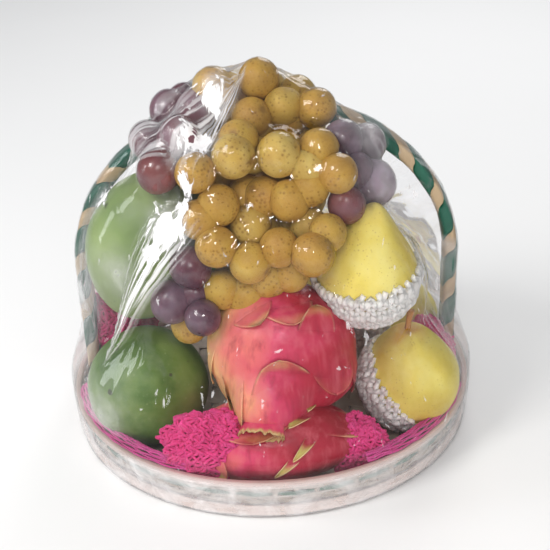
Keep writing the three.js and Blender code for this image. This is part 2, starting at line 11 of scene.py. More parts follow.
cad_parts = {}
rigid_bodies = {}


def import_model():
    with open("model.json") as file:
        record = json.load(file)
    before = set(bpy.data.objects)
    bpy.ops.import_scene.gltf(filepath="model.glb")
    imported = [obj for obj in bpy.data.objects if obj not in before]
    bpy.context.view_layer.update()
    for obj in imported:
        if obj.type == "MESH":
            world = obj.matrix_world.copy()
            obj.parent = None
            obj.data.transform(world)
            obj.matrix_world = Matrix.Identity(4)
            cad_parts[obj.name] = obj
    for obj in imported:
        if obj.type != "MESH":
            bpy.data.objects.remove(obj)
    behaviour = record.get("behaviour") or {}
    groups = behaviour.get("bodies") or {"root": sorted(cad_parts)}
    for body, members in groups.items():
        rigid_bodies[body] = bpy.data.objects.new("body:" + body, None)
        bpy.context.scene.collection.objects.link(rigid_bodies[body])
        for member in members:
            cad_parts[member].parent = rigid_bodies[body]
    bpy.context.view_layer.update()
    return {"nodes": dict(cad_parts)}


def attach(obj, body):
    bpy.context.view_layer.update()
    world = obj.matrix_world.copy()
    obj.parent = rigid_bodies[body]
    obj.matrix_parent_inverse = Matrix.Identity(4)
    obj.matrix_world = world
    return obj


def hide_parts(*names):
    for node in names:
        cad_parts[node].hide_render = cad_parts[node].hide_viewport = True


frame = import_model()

mm = 0.001
scene = bpy.context.scene

# The camera stands where the photo was taken from: low above the table, close, a little rolled.
cameraLook = {
    "target": (5, 0, 94),
    "distance": 800,
    "elevation": 28,
    "roll": -2.3,
    "lens": 81.16,
    "sensor": 36,
    "nearest": 0.01,
}

studio = {
    "floor": (0.86, 0.855, 0.85),
    "floorDark": 0.97,
    "floorSize": 6.0,
    "world": (0.95, 0.97, 1.0),
    "worldStrength": 0.5,
    "aim": (0, 0, 0.1),
    "unmirrored": "fill",  # this one gives light but isn't seen in the film
    # name: place, width, height, power and colour of each softbox, all aimed at the basket
    "lights": {
        "window": ((-0.75, -0.6, 1.05), 0.42, 0.42, 7.8, (1.0, 0.99, 0.97)),
        "sideWindow": ((-1.15, -0.1, 0.45), 0.25, 0.7, 3.6, (0.95, 0.98, 1.0)),
        "front": ((-0.06, -1.2, 1.1), 0.2, 0.2, 4.8, (1.0, 0.985, 0.96)),
        "fill": ((0.12, -1.25, 0.2), 0.9, 0.4, 5.2, (1.0, 0.97, 0.94)),
        "back": ((0.35, 1.0, 0.9), 0.6, 0.6, 5.0, (1.0, 1.0, 1.0)),
    },
}


# Small tools

def lerp(a, b, share):
    return a + (b - a) * share


def clamp(value):
    return min(1, max(0, value))


def smooth(value, low, high):
    share = clamp((value - low) / (high - low))
    return share * share * (3 - 2 * share)


def rises(value, steps):  # smooth steps added up, each with its height, start and end
    return sum(height * smooth(value, low, high) for height, low, high in steps)


def bumpy(point, waves, offset=Vector()):  # noise added up, each wave with its height and fineness
    return sum(height * noise.noise(point * fineness + offset) for height, fineness in waves)


def signed(value, power):  # a power that keeps the sign, to square off a round section
    return abs(value) ** power * (1 if value > 0 else -1)


def pick(table, value):  # straight line between the rows of a two-column table
    for (x0, y0), (x1, y1) in zip(table, table[1:]):
        if value <= x1:
            return lerp(y0, y1, max(0, (value - x0) / (x1 - x0)))
    return table[-1][1]


def ringPoint(radius, angle, height=0.0):  # round the upright axis, from the right towards the back
    return Vector((radius * cos(angle), radius * sin(angle), height))


def darker(colour, share):
    return tuple(part * share for part in colour)


def newObject(name, data):
    made = bpy.data.objects.new(name, data)
    scene.collection.objects.link(made)
    return made


def meshFrom(bm, name):
    mesh = bpy.data.meshes.new(name)
    bm.to_mesh(mesh)
    bm.free()
    return mesh


def addPiece(name, shape, finish, slot, *replaced):
    mesh = meshFrom(shape, name) if isinstance(shape, bmesh.types.BMesh) else shape
    mesh.name = name
    piece = newObject(name, mesh)
    mesh.polygons.foreach_set("use_smooth", [True] * len(mesh.polygons))
    mesh.materials.clear()
    mesh.materials.append(finishes[finish])
    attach(piece, "root")
    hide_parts(*replaced)


def layers(bm, *names):  # numbers kept with each point, for the finishes to read
    stored = bm.verts.layers.float
    return [stored.get(name) or stored.new(name) for name in names]


def ball(bm, detail):
    return bmesh.ops.create_icosphere(bm, subdivisions=detail, radius=1)["verts"]


def grid(bm, across, along, place):  # a sheet whose point at shares u and v goes to place(u, v)
    made = bmesh.ops.create_grid(bm, x_segments=across, y_segments=along, size=1)["verts"]
    for vert in made:
        vert.co = place((vert.co.x + 1) / 2, (vert.co.y + 1) / 2, vert)
    return made


def strands(paths, radius, resolution=1):  # round strands along lists of (point, thickness)
    curve = bpy.data.curves.new("strands", "CURVE")
    curve.dimensions = "3D"
    curve.bevel_depth = radius
    curve.bevel_resolution = resolution
    curve.use_fill_caps = True
    for path in paths:
        spline = curve.splines.new("POLY")
        spline.points.add(len(path) - 1)
        for slot, (point, thickness) in zip(spline.points, path):
            slot.co = (*point, 1)
            slot.radius = thickness
    holder = bpy.data.objects.new("strands", curve)
    mesh = bpy.data.meshes.new_from_object(holder)
    bpy.data.objects.remove(holder)
    bpy.data.curves.remove(curve)
    return mesh


def facesOf(verts):
    return list({face for vert in verts if vert.is_valid for face in vert.link_faces})


def sealed(bm, made, reach=0.01 * mm):  # seams and poles merged, faces outwards
    bmesh.ops.remove_doubles(bm, verts=made, dist=reach)
    bmesh.ops.recalc_face_normals(bm, faces=facesOf(made))
    return [vert for vert in made if vert.is_valid]


def capEnds(bm, made):
    rims = [edge for edge in {edge for vert in made for edge in vert.link_edges} if edge.is_boundary]
    ends = bmesh.ops.holes_fill(bm, edges=rims, sides=0)["faces"]
    bmesh.ops.triangulate(bm, faces=ends)
    bmesh.ops.recalc_face_normals(bm, faces=facesOf(made))


def closedTube(bm, sides, steps, place):  # a section turned through place(angle, share), both ends closed
    made = grid(bm, sides, steps, lambda u, v, vert: place(2 * pi * u, v, vert))
    capEnds(bm, sealed(bm, made))


# Materials: helpers, then effects that several share, then the finishes

def plug(tree, node, inputs):  # each input gets a link from a socket, or else a value
    for key, value in inputs.items():
        if isinstance(value, bpy.types.NodeSocket):
            tree.links.new(value, node.inputs[key])
        else:
            node.inputs[key].default_value = value


def addNode(tree, kind, inputs=None, **settings):
    node = tree.nodes.new(kind)
    for key, value in settings.items():
        setattr(node, key, value)
    plug(tree, node, inputs or {})
    return node


def emptyMaterial(name):
    material = bpy.data.materials.new(name)
    material.use_nodes = True
    tree = material.node_tree
    tree.nodes.clear()
    return material, tree, tree.nodes.new("ShaderNodeOutputMaterial")


def newMaterial(name, uniform):
    material, tree, output = emptyMaterial(name)
    shader = addNode(tree, "ShaderNodeBsdfPrincipled", uniform)
    tree.links.new(shader.outputs["BSDF"], output.inputs["Surface"])
    return material, tree, shader


def ramp(tree, value, stops):
    node = addNode(tree, "ShaderNodeValToRGB", {"Fac": value})
    elements = node.color_ramp.elements
    while len(elements) < len(stops):
        elements.new(0.5)
    for element, (place, colour) in zip(elements, stops):
        element.position = place
        element.color = (*colour, 1)
    return node.outputs["Color"]


def span(tree, value, low, high, toLow=0.0, toHigh=1.0):
    node = addNode(tree, "ShaderNodeMapRange", {
        "Value": value, "From Min": low, "From Max": high, "To Min": toLow, "To Max": toHigh})
    return node.outputs["Result"]


def mixed(tree, share, first, second):
    first, second = (
        value if isinstance(value, bpy.types.NodeSocket) else (*value, 1) for value in (first, second))
    return addNode(tree, "ShaderNodeMix", {0: share, 6: first, 7: second}, data_type="RGBA").outputs[2]


def maths(tree, operation, first, second):
    return addNode(tree, "ShaderNodeMath", {0: first, 1: second}, operation=operation).outputs[0]


def times(tree, first, second):
    return maths(tree, "MULTIPLY", first, second)


def objectPlace(tree):
    return addNode(tree, "ShaderNodeTexCoord").outputs["Object"]


def attribute(tree, name):
    return addNode(tree, "ShaderNodeAttribute", attribute_name=name).outputs["Fac"]


def plane(tree, x, y):
    return addNode(tree, "ShaderNodeCombineXYZ", {"X": x, "Y": y}).outputs["Vector"]


def cloudy(tree, place, scale, detail, roughness=0.5, distortion=0.0, **settings):
    node = addNode(tree, "ShaderNodeTexNoise", {
        "Vector": place, "Scale": scale, "Detail": detail, "Roughness": roughness, "Distortion": distortion},
        **settings)
    return node.outputs["Fac"]


def bump(tree, height, strength, distance):
    inputs = {"Height": height, "Strength": strength, "Distance": distance}
    return addNode(tree, "ShaderNodeBump", inputs).outputs["Normal"]


def newGroup(name, inputs, outputs):
    group = bpy.data.node_groups.new(name, "ShaderNodeTree")
    for side, labels in (("INPUT", inputs), ("OUTPUT", outputs)):
        for label in labels:
            kind = "NodeSocketVector" if label == "Vector" else "NodeSocketFloat"
            group.interface.new_socket(name=label, in_out=side, socket_type=kind)
    source = group.nodes.new("NodeGroupInput").outputs
    sink = group.nodes.new("NodeGroupOutput").inputs
    return group, source, sink


def makePores():  # small dark pores, unevenly spread and uneven in size
    group, source, sink = newGroup("skinPores", ["Vector", "Scale", "Size"], ["Mask"])
    cells = addNode(group, "ShaderNodeTexVoronoi", {"Vector": source["Vector"], "Scale": source["Scale"]})
    patches = span(group, cloudy(group, source["Vector"], 90.0, 2.0), 0.3, 0.7, 0.3, 1.5)
    reach = times(group, source["Size"], patches)
    dot = addNode(group, "ShaderNodeMapRange", {
        "Value": cells.outputs["Distance"], "From Min": 0.0, "From Max": reach, "To Min": 1.0, "To Max": 0.0},
        interpolation_type="SMOOTHSTEP")
    group.links.new(dot.outputs["Result"], sink["Mask"])
    return group


def makeMottle():  # broad and fine patches of lighter and darker skin
    group, source, sink = newGroup("skinMottle", ["Vector", "Scale"], ["Broad", "Fine"])
    finer = times(group, source["Scale"], 7.0)
    kinds = (("Broad", source["Scale"], 3.0, 0.55), ("Fine", finer, 5.0, 0.65))
    for label, scale, detail, roughness in kinds:
        patches = cloudy(group, source["Vector"], scale, detail, roughness)
        group.links.new(span(group, patches, 0.3, 0.7), sink[label])
    return group


def makeFibres():  # fine lines along a strip, from its own along and across attributes
    group, source, sink = newGroup("stripFibres", ["Along", "Across", "Fineness"], ["Lines", "Patches"])
    # output, how fine along and across, detail, roughness, and where the noise begins to show
    kinds = (("Lines", 14.0, source["Fineness"], 4.0, 0.7, 0.25), ("Patches", 60.0, 120.0, 3.0, 0.5, 0.3))
    for label, along, across, detail, roughness, low in kinds:
        place = plane(group, times(group, source["Along"], along), times(group, source["Across"], across))
        grain = cloudy(group, place, 1.0, detail, roughness)
        group.links.new(span(group, grain, low, 1 - low), sink[label])
    return group


effects = {"pores": makePores(), "mottle": makeMottle(), "fibres": makeFibres()}


def effect(tree, name, **inputs):
    return addNode(tree, "ShaderNodeGroup", inputs, node_tree=effects[name]).outputs


# Masks that one fruit's skin needs besides the mottle, the pores and what its points carry

def grapeMasks(tree, _, masks):
    cover = span(tree, masks["broad"], 0.1, 1.0, 0.25, 1.0)
    masks["bloomed"] = times(tree, cover, attribute(tree, "bloom"))


def mangoMasks(tree, place, masks):
    scars = cloudy(tree, place, 62.0, 6.0, 0.7)
    spots = span(tree, scars, 0.665, 0.72, 0.0, 0.85)
    uneven = maths(tree, "ADD", attribute(tree, "blemish"), span(tree, scars, 0.3, 0.7, -0.55, 0.55))
    masks["scarred"] = maths(tree, "MAXIMUM", spots, span(tree, uneven, 0.45, 0.7, 0.0, 0.9))


def dragonfruitMasks(tree, place, masks):
    patches = span(tree, masks["broad"], 0.0, 1.0, -0.16, 0.16)
    masks["warmed"] = maths(tree, "ADD", attribute(tree, "warm"), patches)
    drawn = addNode(tree, "ShaderNodeMapping", {"Vector": place, "Scale": (1.0, 1.0, 0.16)})
    lines = cloudy(tree, drawn.outputs["Vector"], 170.0, 3.0, 0.6)
    masks["veins"] = span(tree, lines, 0.48, 0.72, 0.0, 0.4)
    # darker streaks: painted shade, as in fine grooves of the skin
    masks["hollows"] = span(tree, lines, 0.45, 0.28, 0.0, 0.4)


softInputs = ("Roughness", "Specular IOR Level", "Subsurface Weight", "Subsurface Scale", "Subsurface Radius")

# Each fruit's skin: the inputs above, how fine its mottle is, the scale and size of its pores, its ground
# colours along one mask, tints laid over them as mask, strength and colour, and the relief's strength and
# depth. Roughness, where it varies, follows a mask: its name, where it is full, then the least and the most.
fruitSkins = {
    "longan": {
        "shader": (0.5, 0.35, 0.08, 0.004, (1.0, 0.55, 0.2)),
        "mottle": 95.0,
        "pores": (400.0, 0.45),
        "ground": ("tone", [
            (0.0, (0.4, 0.2, 0.034)), (0.35, (0.48, 0.28, 0.045)), (0.7, (0.54, 0.355, 0.062)),
            (1.0, (0.6, 0.45, 0.13))]),
        "tints": [
            ("broad", 0.5, (0.34, 0.18, 0.032)), ("fine", 0.3, (0.6, 0.42, 0.12)),
            ("stalkEnd", 0.6, (0.2, 0.1, 0.025)), ("pores", 0.75, (0.2, 0.09, 0.014))],
        "relief": (0.25, 0.0005),
        "pitted": True,
    },
    "grape": {
        "shader": (0.3, 0.5, 0.15, 0.004, (1.0, 0.25, 0.25)),
        "mottle": 70.0,
        "masks": grapeMasks,
        "ground": ("tone", [
            (0.0, (0.03, 0.012, 0.026)), (0.35, (0.055, 0.016, 0.034)), (0.7, (0.12, 0.022, 0.032)),
            (1.0, (0.19, 0.045, 0.035))]),
        "tints": [("fine", 0.3, (0.2, 0.075, 0.08)), ("bloomed", 1, (0.35, 0.26, 0.34))],
        "roughness": ("bloomed", 0.75, 0.22, 0.6),
        "relief": (0.1, 0.0004),
    },
    "mango": {
        "shader": (0.42, 0.4, 0.06, 0.005, (0.5, 1.0, 0.25)),
        "mottle": 28.0,
        "pores": (330.0, 0.16),
        "masks": mangoMasks,
        "ground": ("broad", [
            (0.0, (0.04, 0.105, 0.016)), (0.45, (0.08, 0.165, 0.026)), (0.8, (0.145, 0.235, 0.045)),
            (1.0, (0.22, 0.3, 0.08))]),
        "tints": [
            ("pale", 0.75, (0.4, 0.48, 0.22)), ("fine", 0.25, (0.26, 0.34, 0.13)),
            ("pores", 0.5, (0.42, 0.5, 0.24)), ("scarred", 1, (0.045, 0.05, 0.025)),
            ("stalkEnd", 1, (0.12, 0.075, 0.035))],
        "roughness": ("fine", 1.0, 0.36, 0.52),
        "relief": (0.12, 0.0005),
    },
    "pear": {
        "shader": (0.6, 0.25, 0.12, 0.006, (1.0, 0.75, 0.2)),
        "mottle": 32.0,
        "pores": (460.0, 0.26),
        "ground": ("broad", [(0.0, (0.7, 0.54, 0.09)), (0.5, (0.76, 0.63, 0.13)), (1.0, (0.8, 0.71, 0.24))]),
        "tints": [
            ("fine", 0.2, (0.92, 0.82, 0.36)), ("stalkEnd", 0.85, (0.62, 0.29, 0.035)),
            ("pores", 0.55, (0.36, 0.2, 0.06)), ("stalk", 1, (0.5, 0.21, 0.035))],
        "relief": (0.15, 0.0003),
        "pitted": True,
    },
    "dragonfruit": {
        "shader": (0.38, 0.45, 0.1, 0.005, (1.0, 0.3, 0.3)),
        "mottle": 26.0,
        "masks": dragonfruitMasks,
        "ground": ("warmed", [
            (0.0, (0.3, 0.012, 0.024)), (0.3, (0.45, 0.02, 0.05)), (0.55, (0.64, 0.055, 0.14)),
            (0.75, (0.76, 0.2, 0.17)), (1.0, (0.84, 0.5, 0.22))]),
        "tints": [
            # the dark streaks are painted shade, as in fine grooves
            ("veins", 1, (0.74, 0.2, 0.24)), ("hollows", 1, (0.25, 0.01, 0.03)),
            ("tip", 1, (0.52, 0.47, 0.12)), ("margin", 1, (0.72, 0.54, 0.28)), ("dry", 1, (0.32, 0.17, 0.09))],
        "roughness": ("fine", 1.0, 0.3, 0.48),
        "relief": (0.12, 0.0005),
    },
}


def fruitSkin(name):
    look = fruitSkins[name]
    material, tree, shader = newMaterial(name + "Skin", dict(zip(softInputs, look["shader"])))
    place = objectPlace(tree)
    mottle = effect(tree, "mottle", Vector=place, Scale=look["mottle"])
    masks = {"broad": mottle["Broad"], "fine": mottle["Fine"]}
    if "pores" in look:
        scale, size = look["pores"]
        masks["pores"] = effect(tree, "pores", Vector=place, Scale=scale, Size=size)["Mask"]
    if "masks" in look:
        look["masks"](tree, place, masks)

    def mask(label):
        return masks[label] if label in masks else attribute(tree, label)

    label, stops = look["ground"]
    colour = ramp(tree, mask(label), stops)
    for label, strength, tint in look["tints"]:
        share = mask(label) if strength == 1 else times(tree, mask(label), strength)
        colour = mixed(tree, share, colour, tint)
    relief = mottle["Fine"]
    if "pitted" in look:
        relief = maths(tree, "SUBTRACT", relief, masks["pores"])
    plug(tree, shader, {"Base Color": colour, "Normal": bump(tree, relief, *look["relief"])})
    if "roughness" in look:
        label, full, least, most = look["roughness"]
        plug(tree, shader, {"Roughness": span(tree, mask(label), 0.0, full, least, most)})
    return material


# the core under the strands is coloured darker, a painted shade for the holes of the net
foamLook = {"mottle": 160.0, "patches": 0.5, "grain": 0.25, "deep": 0.45, "relief": (0.5, 0.0009)}


def foam(name, colour, shade, through=0.25):
    uniform = (0.85, 0.2, through, 0.003, (1.0, 0.9, 0.9))
    material, tree, shader = newMaterial(name, dict(zip(softInputs, uniform)))
    mottle = effect(tree, "mottle", Vector=objectPlace(tree), Scale=foamLook["mottle"])
    body = mixed(tree, times(tree, mottle["Broad"], foamLook["patches"]), colour, shade)
    fine = mixed(tree, times(tree, mottle["Fine"], foamLook["grain"]), body, shade)
    # the hidden core is darker: painted shade seen through the gaps
    deep = mixed(tree, attribute(tree, "deep"), fine, darker(shade, foamLook["deep"]))
    plug(tree, shader, {"Base Color": deep, "Normal": bump(tree, mottle["Fine"], *foamLook["relief"])})
    return material


stripLook = {"fineness": 2600.0, "lines": 0.45, "lineDark": 0.55, "relief": (0.35, 0.0004)}


def stripSkin(name, light, dark, roughness, sheen=0.35):
    material, tree, shader = newMaterial(name, {"Roughness": roughness, "Specular IOR Level": sheen})
    fibres = effect(tree, "fibres", Along=attribute(tree, "along"), Across=attribute(tree, "across"),
                    Fineness=stripLook["fineness"])
    body = mixed(tree, fibres["Patches"], light, dark)
    share = times(tree, fibres["Lines"], stripLook["lines"])
    lined = mixed(tree, share, body, darker(dark, stripLook["lineDark"]))
    plug(tree, shader, {"Base Color": lined, "Normal": bump(tree, fibres["Lines"], *stripLook["relief"])})
    return material


filmLook = {
    "clear": (0.985, 0.985, 0.99, 1),
    "milk": (0.97, 0.955, 0.965, 1),
    "bend": (0.022, 0.022, 0.022),
    "facets": 85.0,
    "smallFacets": 230.0,
    "relief": (0.5, 0.0018),
    "mirrored": (0.03, 0.9, 0.02, 0.6),  # how the mirrored share grows from a square view to a grazing one
    "fingers": (radians(24), radians(-26), 0.0),
    "fingersDrawn": (1.0, 1.0, 0.22),
    "mostVeiled": 0.97,
}


def filmSkin():  # clear and glossy: white creases in folds, their white partly the film's own and partly a painted reflection of the lights, facets where it crumples, bright where it glares
    material, tree, output = emptyMaterial("filmSkin")
    place = objectPlace(tree)
    gathered, crumpled = attribute(tree, "gathered"), attribute(tree, "crumple")
    fan = plane(tree, attribute(tree, "bearing"), attribute(tree, "away"))
    lines = cloudy(tree, fan, 1.0, 3.0, 0.55, noise_dimensions="2D")
    crease = times(tree, span(tree, lines, 0.35, 0.65), gathered)

    bent = addNode(tree, "ShaderNodeTexNoise", {"Vector": place, "Scale": 38.0, "Detail": 2.0})
    shift = addNode(tree, "ShaderNodeVectorMath", {0: bent.outputs["Color"], 1: filmLook["bend"]},
                    operation="MULTIPLY").outputs["Vector"]
    moved = addNode(tree, "ShaderNodeVectorMath", {0: place, 1: shift}, operation="ADD").outputs["Vector"]
    facets, small = (
        addNode(tree, "ShaderNodeTexVoronoi", {"Vector": moved, "Scale": filmLook[size]},
                feature="DISTANCE_TO_EDGE").outputs["Distance"] for size in ("facets", "smallFacets"))
    facet = maths(tree, "ADD", span(tree, facets, 0.0, 0.5), span(tree, small, 0.0, 0.5, 0.0, 0.35))
    wrinkles = cloudy(tree, place, 60.0, 2.5, 0.42, 0.6)
    height = maths(tree, "ADD", times(tree, wrinkles, 0.42), crease)
    rough = maths(tree, "ADD", height, times(tree, facet, crumpled))
    normal = bump(tree, rough, *filmLook["relief"])

    clear = addNode(tree, "ShaderNodeBsdfTransparent", {"Color": filmLook["clear"]})
    gloss = addNode(tree, "ShaderNodeBsdfGlossy", {
        "Color": (1, 1, 1, 1), "Roughness": 0.06, "Normal": normal})
    fresnel = addNode(tree, "ShaderNodeFresnel", {"IOR": 1.5, "Normal": normal})
    share = span(tree, fresnel.outputs["Fac"], *filmLook["mirrored"])
    shiny = addNode(tree, "ShaderNodeMixShader", {0: share, 1: clear.outputs[0], 2: gloss.outputs[0]})
    # the milky white layer: the film's own haze, and where the masks put it, a painted reflection and glare of
    # the lights
    milky = addNode(tree, "ShaderNodeBsdfPrincipled", {
        "Base Color": filmLook["milk"], "Roughness": 0.22, "Specular IOR Level": 0.8, "Normal": normal})

    sharp = times(tree, times(tree, span(tree, lines, 0.46, 0.6), gathered), 0.9)
    edges = times(tree, span(tree, facets, 0.1, 0.0, 0.0, 0.35), crumpled)
    # milky patches, partly a painted reflection of the lights
    milk = span(tree, cloudy(tree, place, 55.0, 5.0, 0.62, 0.6), 0.36, 0.64, 0.4, 1.0)
    clouded = times(tree, attribute(tree, "hazeAndGlare"), maths(tree, "ADD", milk, edges))
    # glare breaks up into fingers that run with the folds
    fingers = addNode(tree, "ShaderNodeMapping", {
        "Vector": moved, "Rotation": filmLook["fingers"], "Scale": filmLook["fingersDrawn"]})
    licks = span(tree, cloudy(tree, fingers.outputs["Vector"], 190.0, 4.0, 0.6), 0.3, 0.7, -0.5, 0.5)
    flash = span(tree, maths(tree, "ADD", attribute(tree, "glare"), licks), 0.42, 0.62)
    hazeAndGlare = maths(tree, "MAXIMUM", maths(tree, "MAXIMUM", sharp, clouded), flash)
    veil = addNode(tree, "ShaderNodeClamp", {"Value": hazeAndGlare, "Max": filmLook["mostVeiled"]})
    skin = addNode(tree, "ShaderNodeMixShader", {
        0: veil.outputs[0], 1: shiny.outputs[0], 2: milky.outputs[0]})
    tree.links.new(skin.outputs[0], output.inputs["Surface"])
    return material


finishes = {fruit: fruitSkin(fruit) for fruit in fruitSkins}
finishes |= {
    "whiteFoam": foam("whiteFoam", (0.96, 0.93, 0.9), (0.86, 0.8, 0.76), through=0.6),
    "pinkFoam": foam("pinkFoam", (0.82, 0.09, 0.29), (0.6, 0.022, 0.15)),
    "magentaFoam": foam("magentaFoam", (0.8, 0.11, 0.39), (0.62, 0.04, 0.25)),
    "straw": stripSkin("straw", (0.58, 0.48, 0.4), (0.44, 0.35, 0.28), 0.6),
    "strawGreen": stripSkin("strawGreen", (0.05, 0.19, 0.11), (0.03, 0.12, 0.08), 0.5),
    "strawPink": stripSkin("strawPink", (0.66, 0.42, 0.42), (0.56, 0.34, 0.34), 0.55),
    "hoop": stripSkin("hoop", (0.86, 0.72, 0.66), (0.76, 0.6, 0.54), 0.45),
    "cane": stripSkin("cane", (0.62, 0.47, 0.3), (0.46, 0.33, 0.2), 0.5),
    "film": filmSkin(),
    "greenStrip": stripSkin("greenStrip", (0.012, 0.14, 0.085), (0.008, 0.085, 0.055), 0.3, sheen=0.5),
}
print("materials made")


# Camera, light and floor

def aimed(holder, way, roll=0.0):  # turned to look along a direction
    holder.rotation_mode = "QUATERNION"
    holder.rotation_quaternion = way.to_track_quat("-Z", "Y") @ Quaternion((0, 0, 1), radians(roll))


def buildStudio():
    scene.view_settings.view_transform = "Standard"
    rise = radians(cameraLook["elevation"])
    forward = Vector((0, cos(rise), -sin(rise)))
    camera = newObject("photoCamera", bpy.data.cameras.new("photoCamera"))
    camera.location = Vector(cameraLook["target"]) * mm - forward * cameraLook["distance"] * mm
    aimed(camera, forward, cameraLook["roll"])
    camera.data.lens = cameraLook["lens"]
    camera.data.sensor_width = cameraLook["sensor"]
    camera.data.clip_start = cameraLook["nearest"]
    scene.camera = camera

    for name, (place, width, height, power, colour) in studio["lights"].items():
        lamp = bpy.data.lights.new(name, "AREA")
        lamp.shape = "RECTANGLE"
        lamp.size = width
        lamp.size_y = height
        lamp.energy = power
        lamp.color = colour
        holder = newObject(name, lamp)
        holder.visible_glossy = name != studio["unmirrored"]
        holder.location = place
        aimed(holder, Vector(studio["aim"]) - Vector(place))

    world = bpy.data.worlds.new("paleStudio")
    world.use_nodes = True
    plug(world.node_tree, world.node_tree.nodes["Background"], {
        "Color": (*studio["world"], 1), "Strength": studio["worldStrength"]})
    scene.world = world

    bm = bmesh.new()
    bmesh.ops.create_grid(bm, x_segments=1, y_segments=1, size=studio["floorSize"] / 2)
    floor = newObject("studioFloor", meshFrom(bm, "studioFloor"))
    material, tree, shader = newMaterial("paleFloor", {"Roughness": 0.75, "Specular IOR Level": 0.2})
    grain = span(tree, cloudy(tree, objectPlace(tree), 9.0, 4.0), 0.3, 0.7, 0.0, 0.25)
    tone = mixed(tree, grain, studio["floor"], darker(studio["floor"], studio["floorDark"]))
    plug(tree, shader, {"Base Color": tone})
    floor.data.materials.append(material)


buildStudio()
print("camera, lights and floor ready")


# Round fruit: every one starts as a ball of radius 1, is given its form, then its size, turn and place

def roundFruit(bm, centre, semi, turn, detail, form):
    place = Matrix.LocRotScale(
        Vector(centre) * mm, Euler([radians(a) for a in turn], "ZYX").to_quaternion(), Vector(semi) * mm)
    for vert in ball(bm, detail):
        vert.co = place @ form(vert.co.copy(), vert)


longans = {
    # across, height, diameter; proud is how far a row stands out of the slope
    "rows": [
        (0, [(-27, 225, 25), (0, 228, 25)]),
        (-8, [(-5, 210, 24.5), (14, 214, 24), (33, 213, 24.5)]),
        (4, [(-13, 204, 24), (26, 190, 22.5), (33, 199, 23.5)]),
        (8, [(-16, 198, 26.5), (10, 198, 27), (-38, 191, 24), (43, 188, 23.5)]),
        (1, [(15, 173, 25), (-26, 172, 25), (-37, 165, 24), (27, 179, 23)]),
        (-8, [(1, 172, 25), (26, 156, 23), (-8, 157, 25.5)]),
        (5, [(-28, 152, 24.5), (8, 150, 23.5), (36, 157, 23), (-9, 142, 24.5)]),
        (13, [(27, 149, 26)]),
        (-4, [(-27, 121, 24.5), (-13, 117, 24.5), (1, 127, 24), (14, 130, 23.5)]),
    ],
    # height, how far out
    "slope": [(140, 70), (155, 66), (170, 59), (185, 51), (200, 40), (212, 26), (228, 4)],
    "back": [(213, 3), (191, 4), (168, 5), (145, 5)],  # height, how many
    "backSpan": (8, 172),
    "backShift": 0.25,
    "backUneven": 0.06,
    "backProud": 4,
    "wedged": (-48, -58, 93, 11.5),  # one that shows low at the left
    "inner": [(110, 8), (130, 8), (150, 8), (170, 8), (190, 7), (206, 5)],
    "innerSunk": 9,
    "radius": 12.2,
    # height, middle across, middle back, half width, half depth
    "core": [
        (5, -2, -2, 26, 24), (104, -2, -2, 27, 25), (120, -4, -20, 28, 37), (150, -2, -20, 31, 40),
        (172, 0, -14, 34, 38), (192, 0, -6, 32, 32), (208, 2, -3, 27, 22), (221, -8, 0, 15, 12),
    ],
    "coreSlim": 7,
    "coreSides": 12,
    "detail": (4, 3),  # of those in view and of those deep in the gaps
    "squat": (0.95, 1.0),
    "tilt": 150,
    "shade": (0.75, 0.2),
    "blotches": [(0.35, 1.3)],
    "bumps": [(0.022, 1.7), (0.006, 7)],
    "dimple": [(0.05, 0.955, 1.0), (-0.02, 0.85, 0.95)],
    "dusky": [(1, 0.965, 0.99), (0.12, 0.7, 0.95)],
    "seed": 11,
}
noiseReach = 50  # how far apart the noise of two fruits of a kind may lie


def roundCore(section, angle, reach):  # a point that lies reach outside the heap's core
    midX, midY, halfX, halfY = section
    return midX + (halfX + reach) * cos(angle), midY + (halfY + reach) * sin(angle)


def longanPlaces():
    places = []
    fine, plain = longans["detail"]
    for proud, row in longans["rows"]:
        for across, height, diameter in row:
            places.append((across, -pick(longans["slope"], height) - proud, height, diameter / 2, fine))
    places.extend(longanRings("back", longans["backProud"], fine))
    places.append((*longans["wedged"], fine))
    places.extend(longanRings("inner", -longans["innerSunk"], plain))
    return places


def longanRings(part, reach, detail):
    for row, (height, count) in enumerate(longans[part]):
        section = [pick([(line[0], line[k]) for line in longans["core"]], height) for k in range(1, 5)]
        for k in range(count):
            swell = 1
            angle = 2 * pi * (k + 0.5 * (row % 2)) / count
            if part == "back":
                shift = longans["backShift"] * (1 if row % 2 else -1)
                angle = radians(lerp(*longans["backSpan"], (k + 0.5 + shift) / count))
                swell += longans["backUneven"] * sin(7 * k + 3 * row)
            yield *roundCore(section, angle, reach), height, longans["radius"] * swell, detail


def buildLongans():
    dice = random.Random(longans["seed"])
    bm = bmesh.new()
    tone, stalkEnd = layers(bm, "tone", "stalkEnd")
    tilt = longans["tilt"]
    for x, y, z, radius, detail in longanPlaces():
        shade = dice.random()
        offset = Vector((dice.uniform(0, noiseReach), 0, 0))
        squat = dice.uniform(*longans["squat"])

        def form(point, vert):
            share, least = longans["shade"]
            vert[tone] = clamp(shade * share + least + bumpy(point, longans["blotches"], offset))
            vert[stalkEnd] = rises(point.z, longans["dusky"])
            swell = 1 + (bumpy(point, longans["bumps"], offset) - rises(point.z, longans["dimple"]))
            return Vector((point.x, point.y, point.z * squat)) * swell

        lean = (dice.uniform(-tilt, tilt), dice.uniform(-tilt, tilt), dice.uniform(0, 360))
        roundFruit(bm, (x, y, z), (radius,) * 3, lean, detail, form)

    def coreForm(angle, share, vert):
        height, *section = longans["core"][round(share * (len(longans["core"]) - 1))]
        vert[stalkEnd] = 1
        return Vector((*roundCore(section, angle, -longans["coreSlim"]), height)) * mm

    closedTube(bm, longans["coreSides"], len(longans["core"]) - 1, coreForm)
    addPiece("longans", bm, "longan", "longan", "longan_bunch")


buildLongans()
print("longans heaped")

